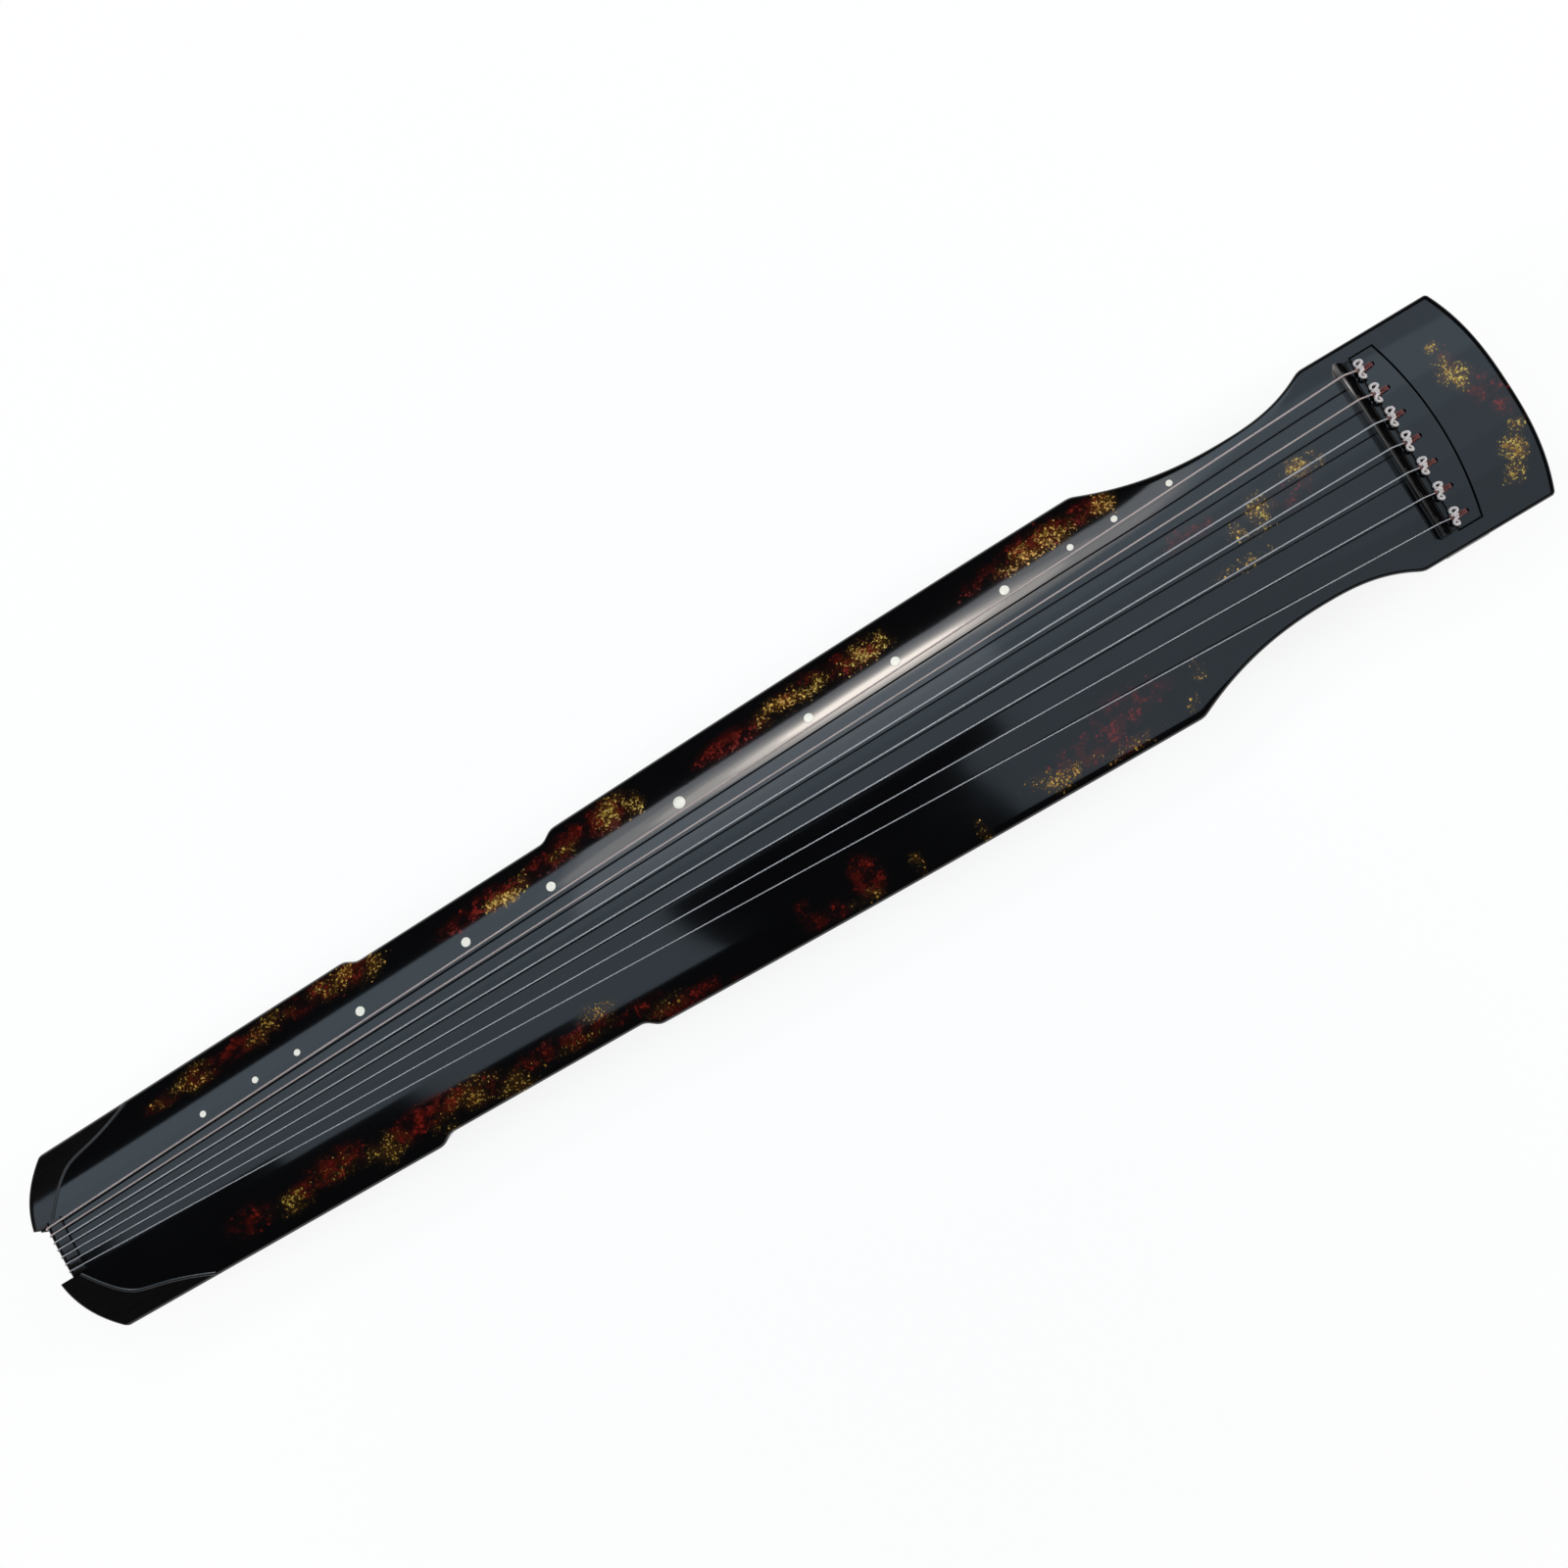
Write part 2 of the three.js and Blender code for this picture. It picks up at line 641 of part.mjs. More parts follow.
function hornOutline(way, grow) {
  const curve = scrollCurve(way, grow).getPoints(scrollPoints);
  const edge = way * (tailHalf + sideLean);
  const inner = way * (nutHalf + seatGap + seatGap - grow);
  return new THREE.Shape([
    ...curve,
    new THREE.Vector2(tailTipX - overrun, edge),
    new THREE.Vector2(tailTipX - overrun, inner),
  ]);
}
const hornStock = (way, grow) => solidOf(raised(hornOutline(way, grow), hornBaseZ - grow, aboveFaceZ));
const hornCut = (way) => hornStock(way, seatGap);
const hornSolid = (way) => hornStock(way, 0).intersect(bodyStock);

// Sound chamber: hollowed into the face board, thinner over the posts than over the holes
const chamberWall = 14;
const chamberFromNut = 122;
const chamberFromNeck = 8;
const chamberTailX = nutX + chamberFromNut;
const chamberHeadX = neckX - chamberFromNeck;
const faceThickness = 13;
const padThickness = 9;
const padHalf = 34;
const dragonPoolLength = 200;
const dragonPoolHalf = 12.5;
const dragonPoolFromBridge = 310;
const phoenixPondLength = 110;
const phoenixPondHalf = 12.5;
const phoenixPondFromBridge = 864;
const soundHoleRadius = 10;
const padMargin = 22;
const padEdge = 12;
const chamberShares = [-1, -0.72, -0.4, 0, 0.4, 0.72, 1];
const chamberNeckShares = [0.1, 0.45];
const dragonPoolX = bridgeX - dragonPoolFromBridge - dragonPoolLength / 2;
const phoenixPondX = bridgeX - phoenixPondFromBridge - phoenixPondLength / 2;
const soundHoles = [
  { centre: dragonPoolX, length: dragonPoolLength, half: dragonPoolHalf },
  { centre: phoenixPondX, length: phoenixPondLength, half: phoenixPondHalf },
];
function padDepth(x, y) {
  const depths = soundHoles.map(({ centre, length }) => {
    const alongFade = smooth((Math.abs(x - centre) - length / 2 - padMargin) / padEdge);
    const acrossFade = smooth((Math.abs(y) - padHalf) / padEdge);
    return padThickness * (1 - alongFade) * (1 - acrossFade);
  });
  return Math.max(...depths);
}
const chamberStations = [
  chamberTailX,
  ...soundHoles.toReversed().flatMap(({ centre, length }) => [
    centre - length / 2 - padMargin - padEdge,
    centre - length / 2 - padMargin,
    centre,
    centre + length / 2 + padMargin,
    centre + length / 2 + padMargin + padEdge,
  ]),
  ...chamberNeckShares.map((share) => mix(shoulderX, chamberHeadX, share)),
  chamberHeadX,
].filter((station) => station >= chamberTailX && station <= chamberHeadX);
const chamberHalf = (x) => Math.min(outlineHalf(x), taperHalf(x)) - chamberWall;
const chamber = solidOf(plank(
  chamberStations,
  chamberShares,
  (x, share) => {
    const y = chamberHalf(x) * share;
    return point3(x, y, faceZ(x, y) - faceThickness - padDepth(x, y));
  },
  (x, share) => point3(x, chamberHalf(x) * share, seamZ - overrun),
  true,
));

// Sound posts: one round, one square, standing between the two boards
const heavenPostRadius = 8;
const heavenPostFromBridge = 252;
const earthPostHalf = 6;
const earthPostFromBridge = 616;
const postSides = 14;
const heavenPostX = bridgeX - heavenPostFromBridge;
const earthPostX = bridgeX - earthPostFromBridge;
const postTop = (x, reach) => {
  const ceiling = Math.min(faceZ(x - reach, reach), faceZ(x + reach, reach)) - faceThickness;
  return ceiling - runningGap;
};

// Goose feet: turned hardwood, each on a square tenon, waisted where the strings wind on
const footFromBridge = 784;
const footHalfSpacing = 46;
const footSoleRadius = 11.5;
const footSoleHeight = 4.5;
const footNeckRadius = 8;
const footFlangeRadius = 13;
const footFlangeHeight = 4;
const footSides = 16;
const footRimDrop = 1;
const tenonHalf = 7;
const tenonLength = 16;
const socketHalf = 14;
const socketHeight = 19;
const footX = bridgeX - footFromBridge;
function footSolid(way) {
  const profile = [
    [0, 0],
    [footSoleRadius, 0],
    [footSoleRadius, footSoleHeight - footRimDrop],
    [footNeckRadius, footSoleHeight],
    [footNeckRadius, bottomZ - footFlangeHeight],
    [footFlangeRadius, bottomZ - footFlangeHeight + footRimDrop],
    [footFlangeRadius, bottomZ],
    [0, bottomZ],
  ].map(([radius, height]) => new THREE.Vector2(radius, height));
  const turned = new THREE.LatheGeometry(profile, footSides);
  turned.rotateX(Math.PI / 2);
  turned.translate(footX, way * footHalfSpacing, 0);
  const tenon = boxBetween(
    point3(footX - tenonHalf, way * footHalfSpacing - tenonHalf, bottomZ - overrun),
    point3(footX + tenonHalf, way * footHalfSpacing + tenonHalf, bottomZ + tenonLength),
  );
  return solidOf(turned).add(solidOf(tenon));
}
function footBox(way, half, lowZ, highZ) {
  return solidOf(boxBetween(
    point3(footX - half, way * footHalfSpacing - half, lowZ),
    point3(footX + half, way * footHalfSpacing + half, highZ),
  ));
}
const socketSolid = (way) => cut(
  footBox(way, socketHalf, bottomZ, bottomZ + socketHeight),
  footBox(way, tenonHalf + seatGap, bottomZ - overrun, bottomZ + tenonLength + seatGap),
);
const socketCut = (way) => {
  const ceiling = bottomZ + socketHeight + seatGap;
  return footBox(way, socketHalf + seatGap, bottomZ - overrun, ceiling);
};

// Peg guards: two shaped feet below the head that shield the pegs
const guardTopLength = 60;
const guardSoleLength = 36;
const guardBellyShare = 0.7;
const guardSegments = 6;
function guardSolid(way) {
  const top = guardTopLength / 2;
  const sole = guardSoleLength / 2;
  const shape = new THREE.Shape();
  shape.moveTo(-top, bottomZ);
  shape.quadraticCurveTo(-sole, mix(0, bottomZ, guardBellyShare), -sole, 0);
  shape.lineTo(sole, 0);
  shape.quadraticCurveTo(sole, mix(0, bottomZ, guardBellyShare), top, bottomZ);
  shape.closePath();
  const options = { depth: guardThickness, bevelEnabled: false, curveSegments: guardSegments };
  const guard = new THREE.ExtrudeGeometry(shape, options);
  guard.rotateX(Math.PI / 2);
  guard.translate(cordX, way * guardCentreY + guardThickness / 2, 0);
  return guard;
}

// Studs: thirteen round inlays that mark simple fractions of the string
const headStudShares = [1 / 8, 1 / 6, 1 / 5, 1 / 4, 1 / 3, 2 / 5];
const tailStudShares = headStudShares.map((share) => 1 - share).reverse();
const studShares = [...headStudShares, 1 / 2, ...tailStudShares];
const studSmall = 2.5;
const studMiddle = 3.6;
const studLarge = 4.65;
const studRadii = [
  studSmall, studSmall, studSmall, studMiddle, studMiddle, studMiddle, studLarge,
  studMiddle, studMiddle, studMiddle, studSmall, studSmall, studSmall,
];
const studLineBridgeY = 68;
const studLineNutY = 27;
const studThickness = 1.4;
const studProud = 0.2;
const studSides = 12;
function studRod(place, grow, proud, depth) {
  const share = studShares[place];
  const x = bridgeX - stringLength * share;
  const y = mix(studLineBridgeY, studLineNutY, share);
  const reach = studRadii[place];
  const rod = new THREE.CylinderGeometry(reach + grow, reach + grow, proud + depth, studSides);
  rod.rotateX(Math.PI / 2);
  rod.translate(0, 0, (proud - depth) / 2);
  rod.rotateX(faceSlope(x, y, reach));
  rod.translate(x, y, faceZ(x, y));
  return rod;
}

// The face board: the arched stock less the chamber, the pockets and the holes
const studHoles = studShares.map((_, place) => {
  const hole = studRod(place, seatGap, overrun, studThickness + seatGap);
  return solidOf(hole);
});
const faceBoard = cut(
  bodyStock,
  notch(notchHalf),
  chamber,
  bridgePocket,
  platePocket,
  poolCut,
  nutPocket,
  lowerGumPocket,
  hornCut(1),
  hornCut(-1),
  ...[1, -1].map(socketCut),
  ...cordHoles(poolZ - overrun, topZ),
  ...studHoles,
);

// The bottom board: a flat plank of the same outline with its openings
const bottomStock = solidOf(plank(outlineStations, acrossShares, seamPoint, bottomPoint, false));
const soundHoleCuts = soundHoles.map(({ centre, length, half }) => {
  const outline = roundedSlot(centre, 0, length / 2, half, soundHoleRadius);
  return solidOf(raised(outline, bottomZ - overrun, seamZ + overrun, poolSegments));
});
const bottomBoard = cut(
  bottomStock,
  notch(notchHalf),
  poolCut,
  lowerGumPocket,
  ...soundHoleCuts,
  ...[1, -1].map(socketCut),
);

// String routes: knot, bridge, nut, round the tail, along the bottom and round a foot
const windTurns = 2.5;
const windSteps = 16;
const windGap = 0.5;
const farFootStrings = 4;
const bendSharesOfRadius = [0, 0.5, 1];
const windStartZ = bottomZ - footFlangeHeight - windGap;
function bend(centreX, centreZ, y, radius, fromAngle, toAngle) {
  return bendSharesOfRadius.map((share) => {
    const angle = mix(fromAngle, toAngle, share);
    return point3(centreX + radius * Math.cos(angle), y, centreZ + radius * Math.sin(angle));
  });
}
function windStart(number) {
  const first = number < farFootStrings ? 0 : farFootStrings;
  const above = stringDiameters.slice(first, number);
  const used = above.reduce((sum, diameter) => sum + (diameter + windGap) * (windTurns + 1), 0);
  return windStartZ - used - stringDiameters[number] / 2;
}
function stringPoints(number) {
  const radius = stringDiameters[number] / 2;
  const lift = radius + seatGap;
  const bridgeY = stringBridgeY(number);
  const nutY = stringNutY(number);
  const way = number < farFootStrings ? 1 : -1;
  const knotFront = bindLength / 2 + seatGap + radius;
  const start = point3(
    knotX - knotFront * Math.cos(knotTilt),
    bridgeY,
    knotZ(bridgeY) + knotFront * Math.sin(-knotTilt),
  );
  const bridgeBack = point3(bridgeX + bridgeTopWidth, bridgeY, bridgeTopZ(bridgeY) + lift);
  const bridgeFront = point3(bridgeX, bridgeY, bridgeTopZ(bridgeY) + lift);
  const turn = nutRound + lift;
  const overNut = bend(notchX + nutRound, nutTopZ(nutY) - nutRound, nutY, turn, Math.PI / 2, Math.PI);
  const lowZ = bottomZ - lowerGumProud;
  const underGum = bend(notchX + nutRound, lowZ + nutRound, nutY, turn, Math.PI, 1.5 * Math.PI);
  const wrap = footNeckRadius + lift;
  const gumBack = point3(notchX + lowerGumDepth, nutY, lowZ - lift);
  const footY = way * footHalfSpacing;
  const startZ = windStart(number);
  const pitch = stringDiameters[number] + windGap;
  const winding = [];
  for (let step = 0; step <= windTurns * windSteps; step += 1) {
    const angle = (2 * Math.PI * step) / windSteps;
    const x = footX + wrap * Math.sin(angle);
    const y = footY - way * wrap * Math.cos(angle);
    winding.push(point3(x, y, startZ - (pitch * step) / windSteps));
  }
  return { route: [start, bridgeBack, bridgeFront, ...overNut, ...underGum, gumBack], winding };
}

// The least gap between the turns of a winding, measured from point to point
function leastGap(points, thickness) {
  let least = Infinity;
  points.forEach((point, step) => {
    points.slice(step + Math.floor(windSteps / 2)).forEach((other) => {
      least = Math.min(least, point.distanceTo(other) - thickness);
    });
  });
  return least;
}

// Finishes
function finish(color, roughness, metalness) {
  return new THREE.MeshStandardMaterial({ color, roughness, metalness });
}
const lacquer = finish(0x14181c, 0.18, 0);
const darkWood = finish(0x17110f, 0.4, 0);
const pegWood = finish(0x2a1712, 0.35, 0);
const paleShell = finish(0xf1efe8, 0.25, 0);
const copperWire = finish(0xb08a78, 0.35, 1);
const silverWire = finish(0xb9bdc2, 0.3, 1);
const redCord = finish(0x6e1c1a, 0.9, 0);
const whiteCord = finish(0xd9cfcb, 0.85, 0);
const bareWood = finish(0x9a7650, 0.7, 0);

const guqin = new THREE.Group();
function add(name, shape, material) {
  const geometry = shape.isBufferGeometry ? shape : geometryOf(shape);
  const mesh = new THREE.Mesh(geometry, material);
  mesh.name = name;
  guqin.add(mesh);
}

add("face_board", faceBoard, lacquer);
add("bottom_board", bottomBoard, lacquer);
add("bridge", bridgeSolid(), darkWood);
add("string_hole_plate", stringHolePlate, darkWood);
add("dragon_gum", nutSolid, darkWood);
add("lower_gum", lowerGumSolid(), darkWood);
add("peg_pool_plate", pegPoolPlate, darkWood);
for (const [side, way] of [["far", 1], ["near", -1]]) {
  add(`tail_horn_${side}`, hornSolid(way), darkWood);
  add(`peg_guard_${side}`, guardSolid(way), darkWood);
  add(`goose_foot_${side}`, footSolid(way), darkWood);
  add(`foot_socket_${side}`, socketSolid(way), bareWood);
}
const heavenPostTop = postTop(heavenPostX, heavenPostRadius);
const heavenPost = uprightRod(heavenPostX, 0, seamZ, heavenPostTop, heavenPostRadius, postSides);
add("heaven_post", heavenPost, bareWood);
add("earth_post", boxBetween(
  point3(earthPostX - earthPostHalf, -earthPostHalf, seamZ),
  point3(earthPostX + earthPostHalf, earthPostHalf, postTop(earthPostX, earthPostHalf)),
), bareWood);
numbers.forEach((number) => {
  const label = number + 1;
  const { route, winding } = stringPoints(number);
  const wire = number < copperStrings ? copperWire : silverWire;
  add(`tuning_peg_${label}`, pegSolid(number), pegWood);
  add(`tuning_cord_${label}`, tubeThrough(cordPoints(number), cordRadius, cordSides), redCord);
  add(`fly_head_knot_${label}`, knotSolid(number), whiteCord);
  const string = tubeThrough([...route, ...winding], stringDiameters[number] / 2, stringSides);
  add(`string_${label}`, string, wire);
  const gap = leastGap(winding, stringDiameters[number]);
  console.log(`string ${label}: least gap between turns ${gap.toFixed(2)} mm`);
});
studShares.forEach((_, place) => {
  add(`hui_${place + 1}`, studRod(place, 0, studProud, studThickness), paleShell);
});

export default guqin;
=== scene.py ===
import math

import bmesh
import bpy
import numpy as np
from mathutils import Matrix, Vector
from mathutils.bvhtree import BVHTree
from mathutils.interpolate import poly_3d_calc


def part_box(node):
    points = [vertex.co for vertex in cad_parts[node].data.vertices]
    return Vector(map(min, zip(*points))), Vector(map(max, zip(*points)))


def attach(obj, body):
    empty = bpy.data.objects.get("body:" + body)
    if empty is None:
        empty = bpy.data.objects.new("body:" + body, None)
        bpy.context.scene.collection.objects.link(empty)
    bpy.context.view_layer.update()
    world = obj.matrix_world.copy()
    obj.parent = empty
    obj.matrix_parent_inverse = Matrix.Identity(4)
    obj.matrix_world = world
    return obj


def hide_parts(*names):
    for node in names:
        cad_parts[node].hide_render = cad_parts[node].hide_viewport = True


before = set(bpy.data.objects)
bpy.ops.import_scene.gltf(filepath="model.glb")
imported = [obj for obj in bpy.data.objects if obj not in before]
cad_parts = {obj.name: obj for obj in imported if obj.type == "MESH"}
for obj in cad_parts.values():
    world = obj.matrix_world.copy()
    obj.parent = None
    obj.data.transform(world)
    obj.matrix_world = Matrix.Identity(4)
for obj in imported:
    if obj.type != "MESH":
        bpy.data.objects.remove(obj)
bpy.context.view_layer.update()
scene = bpy.context.scene

# Face board: one long plank of light timber, arched across its top and hollowed from below.
# It is covered with black lacquer, polished like a mirror, with gold and red lacquer dust
# sprinkled in clouds along its edges, near the bridge and on the head.
mm = 0.001
face_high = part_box("face_board")[1]
bottom_low, bottom_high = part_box("bottom_board")
bridge_low, bridge_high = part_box("bridge")
string_length = 1120 * mm
bridge_x = bridge_low.x
nut_x = bridge_x - string_length
head_tip = face_high.x
tail_tip = nut_x - 17 * mm
tail_corner = nut_x + 9 * mm
head_corner = head_tip - 13 * mm
head_neck = bridge_x - 21 * mm
neck = bridge_x - 92 * mm
shoulder = bridge_x - 205 * mm
waist_step = 11.5 * mm
waist_head = bridge_x - 653 * mm
waist_tail = waist_head - 185 * mm
waist_head_inner = waist_head - waist_step
waist_tail_inner = waist_tail + waist_step
head_half = 85.4 * mm
neck_half = 69.4 * mm
shoulder_half = face_high.y
waist_head_half = 83.1 * mm
waist_head_inner_half = 76.2 * mm
waist_tail_inner_half = 72.6 * mm
waist_tail_half = 78 * mm
tail_half = 72 * mm
body_bow = 1.1 * mm
corner_softness = 3 * mm
corner_samples = 9
neck_curve = 2.6
shoulder_curve = 2.2
arch_curve = 2.2
head_bow_curve = 2.6
tail_bow_curve = 2.7
top_z = face_high.z
seam_z = bottom_high.z
bottom_z = bottom_low.z
crown = 16 * mm
crown_head = 8 * mm
head_drop, head_drop_length = 7 * mm, 420 * mm
tail_drop, tail_drop_length = 2 * mm, 220 * mm
side_lean = 6 * mm
edge_round = 2.4 * mm
edge_steps = 5
board_rows = 480
board_columns = 46
head_bow_length = head_corner - head_neck
tail_bow_length = waist_tail - tail_corner
overrun = 2 * mm
fit = 0.1 * mm
hair = 0.002 * mm


def mix(start, end, share):
    return start + (end - start) * share


def share_of(value, start, end):
    return (value - start) / (end - start)


def eased(share):
    share = np.clip(share, 0, 1)
    return share * share * (3 - 2 * share)


def outline_half(x):
    """Half the width of the board at one station."""
    if x >= head_neck:
        return head_half
    if x >= neck:
        return mix(neck_half, head_half, share_of(x, neck, head_neck) ** neck_curve)
    if x >= shoulder:
        return mix(neck_half, shoulder_half, share_of(x, neck, shoulder) ** shoulder_curve)
    if x >= waist_head:
        share = share_of(x, waist_head, shoulder)
        return mix(waist_head_half, shoulder_half, share) + body_bow * 4 * share * (1 - share)
    if x >= waist_head_inner:
        rise = eased(share_of(x, waist_head_inner, waist_head))
        return mix(waist_head_inner_half, waist_head_half, rise)
    if x >= waist_tail_inner:
        share = share_of(x, waist_tail_inner, waist_head_inner)
        return mix(waist_tail_inner_half, waist_head_inner_half, share)
    if x >= waist_tail:
        rise = eased(share_of(x, waist_tail, waist_tail_inner))
        return mix(waist_tail_half, waist_tail_inner_half, rise)
    return mix(waist_tail_half, tail_half, np.clip(share_of(x, waist_tail, tail_corner), 0, 1))


half_stations = np.arange(tail_corner - overrun, head_corner + overrun, mm / 2)
softening = np.linspace(-corner_softness, corner_softness, corner_samples)
half_widths = [np.mean([outline_half(x + step) for step in softening]) for x in half_stations]


def soft_half(x):
    """The half width with its corners rounded, as the lacquer leaves them."""
    return np.interp(x, half_stations, half_widths)


def taper_half(x):
    """Half the width that the arch is drawn over, straight from the shoulder to each end."""
    tail_side = mix(shoulder_half, tail_half, share_of(x, shoulder, tail_corner))
    head_side = mix(shoulder_half, head_half, share_of(x, shoulder, head_tip))
    return np.where(np.asarray(x) < shoulder, tail_side, head_side)


def face_height(x, y):
    """Height of the playing face: level along most of its length, arched across."""
    dip_head = head_drop * eased(share_of(x, head_tip - head_drop_length, head_tip))
    dip_tail = tail_drop * eased(share_of(x, tail_tip + tail_drop_length, tail_tip))
    crown_here = mix(crown, crown_head, eased(share_of(x, shoulder, head_neck)))
    arch = crown_here * (np.abs(y) / taper_half(x)) ** arch_curve
    return top_z - dip_head - dip_tail - arch


def station_x(station, share):
    """Where a station lies along the board, whose two ends bow outwards in plan."""
    head_bow = (head_tip - head_corner) * (1 - np.abs(share) ** head_bow_curve)
    tail_bow = (tail_corner - tail_tip) * (1 - np.abs(share) ** tail_bow_curve)
    head_share = np.clip(share_of(station, head_corner - head_bow_length, head_corner), 0, 1)
    tail_share = np.clip(share_of(station, tail_corner + tail_bow_length, tail_corner), 0, 1)
    return station + head_bow * head_share - tail_bow * tail_share


def lean_share(x, z):
    """Part of the half width that the side wall has leaned in by at a height."""
    return side_lean * share_of(z, top_z - crown, bottom_z) / soft_half(x)


def grid_faces(rows, columns, start=0):
    faces = []
    for row in range(rows - 1):
        for column in range(columns - 1):
            a = start + row * columns + column
            faces.append((a, a + columns, a + columns + 1, a + 1))
    return faces


def rim_of(rows, columns):
    """Places round a grid, counted so that they run anticlockwise from above."""
    near = [row * columns for row in range(rows)]
    head = [(rows - 1) * columns + column for column in range(1, columns)]
    far = [row * columns + columns - 1 for row in range(rows - 2, -1, -1)]
    tail = list(range(columns - 2, 0, -1))
    return near + head + far + tail


def band_faces(low, high):
    """Faces between two rings of places, outwards when the rings run anticlockwise."""
    count = len(low)
    return [
        (low[k], low[(k + 1) % count], high[(k + 1) % count], high[k])
        for k in range(count)
    ]


def new_piece(name, points, faces, *materials):
    mesh = bpy.data.meshes.new(name)
    mesh.from_pydata([tuple(point) for point in points], [], faces)
    for material in materials:
        mesh.materials.append(material)
    piece = bpy.data.objects.new(name, mesh)
    scene.collection.objects.link(piece)
    return piece


def settled(piece):
    """The piece with its modifiers worked into a plain mesh."""
    depsgraph = bpy.context.evaluated_depsgraph_get()
    mesh = bpy.data.meshes.new_from_object(piece.evaluated_get(depsgraph))
    old = piece.data
    piece.modifiers.clear()
    piece.data = mesh
    bpy.data.meshes.remove(old)
    mesh.name = piece.name
    return piece


def carve(piece, *tools, how="DIFFERENCE"):
    """Cuts a piece with each tool in turn and clears the tools away."""
    for tool in tools:
        cut = piece.modifiers.new("carve", "BOOLEAN")
        cut.object = tool
        cut.operation = how
        cut.solver = "MANIFOLD"
    settled(piece)
    for tool in tools:
        bpy.data.objects.remove(tool)
    return piece


def smooth(piece, angle=math.radians(32)):
    piece.data.polygons.foreach_set("use_smooth", [True] * len(piece.data.polygons))
    piece.data.set_sharp_from_angle(angle=angle)
    return piece


def block(low, high):
    """A box between two corners."""
    points = [(x, y, z) for x in (low[0], high[0]) for y in (low[1], high[1]) for z in (low[2], high[2])]
    faces = [(0, 1, 3, 2), (4, 6, 7, 5), (0, 4, 5, 1), (2, 3, 7, 6), (0, 2, 6, 4), (1, 5, 7, 3)]
    return new_piece("block", points, faces)


def prism(outline, low_z, high_z):
    """A plan outline, anticlockwise, raised from one height to another."""
    count = len(outline)
    points = [(x, y, low_z) for x, y in outline] + [(x, y, high_z) for x, y in outline]
    low = list(range(count))
    high = list(range(count, 2 * count))
    return new_piece("prism", points, band_faces(low, high) + [tuple(reversed(low)), tuple(high)])


def rod(x, y, low_z, high_z, radius, sides=32):
    angles = [2 * math.pi * k / sides for k in range(sides)]
    ring = [(x + radius * math.cos(angle), y + radius * math.sin(angle)) for angle in angles]
    return prism(ring, low_z, high_z)


def rounded_slot(centre_x, half_x, half_y, radius, steps=8):
    """Plan outline of a slot with round corners."""
    outline = []
    for corner, (way_x, way_y) in enumerate([(1, 1), (-1, 1), (-1, -1), (1, -1)]):
        for step in range(steps + 1):
            angle = (corner + step / steps) * math.pi / 2
            x = centre_x + way_x * (half_x - radius) + radius * math.cos(angle)
            outline.append((x, way_y * (half_y - radius) + radius * math.sin(angle)))
    return outline


inset = edge_round * (1 - np.cos(np.linspace(0, math.pi / 2, edge_steps + 1)))
middle_rows = np.linspace(tail_corner + edge_round, head_corner - edge_round, board_rows)[1:-1]
row_station = np.concatenate([tail_corner + inset, middle_rows, head_corner - inset[::-1]])
row_reach = np.concatenate([edge_round - inset, 0 * middle_rows, (edge_round - inset)[::-1]])
row_way = np.where(row_station < 0, 1, -1)
middle_columns = np.linspace(-1, 1, board_columns)[1:-1]
column_share = np.concatenate([-np.ones(edge_steps + 1), middle_columns, np.ones(edge_steps + 1)])
column_reach = np.concatenate([edge_round - inset, 0 * middle_columns, (edge_round - inset)[::-1]])

# Where a side's rounding meets an end's, the square of the two is turned into a round corner
side_reach, end_reach = np.meshgrid(column_reach, row_reach)
longer, shorter = np.maximum(side_reach, end_reach), np.minimum(side_reach, end_reach)
corner_angle = math.pi / 4 * shorter / np.maximum(longer, hair)
along_longer, along_shorter = longer * np.cos(corner_angle), longer * np.sin(corner_angle)
round_side = np.where(side_reach >= end_reach, along_longer, along_shorter)
round_end = np.where(side_reach >= end_reach, along_shorter, along_longer)
grid_station = row_station[:, None] + row_way[:, None] * (end_reach - round_end)
grid_half = soft_half(grid_station)
grid_y = (grid_half - edge_round) * column_share + np.sign(column_share) * round_side
grid_x = station_x(grid_station, grid_y / grid_half)
edge_drop = edge_round - np.sqrt(np.maximum(edge_round ** 2 - longer ** 2, 0))
grid_z = face_height(grid_x, grid_y) - edge_drop
grid_rows, grid_columns = grid_x.shape
top_points = np.stack([grid_x, grid_y, grid_z], axis=-1).reshape(-1, 3)
board_rim = rim_of(grid_rows, grid_columns)
rim_points = top_points[board_rim]
rim_station = grid_station.reshape(-1)[board_rim]


def leaned(z):
    """The rim of the board drawn at a lower height, leaned in as its side wall is."""
    ring = rim_points.copy()
    ring[:, 1] *= 1 - lean_share(rim_station, z)
    ring[:, 2] = z
    return ring


# Rows of the side wall, as shares of the way from the rim down to the seam
wall_shares = [0.3, 0.65, 1]
wall_rings = [mix(rim_points, leaned(seam_z), share) for share in wall_shares]
stock_points = np.concatenate([top_points, *wall_rings])
rim_count = len(board_rim)
ring_places = [board_rim] + [
    list(range(len(top_points) + step * rim_count, len(top_points) + (step + 1) * rim_count))
    for step in range(len(wall_shares))
]
skin_faces = grid_faces(grid_rows, grid_columns)
for high, low in zip(ring_places, ring_places[1:]):
    skin_faces += band_faces(low, high)


def face_stock(name, *materials):
    """The arched plank before anything is cut into it."""
    return new_piece(name, stock_points, skin_faces + [tuple(reversed(ring_places[-1]))], *materials)


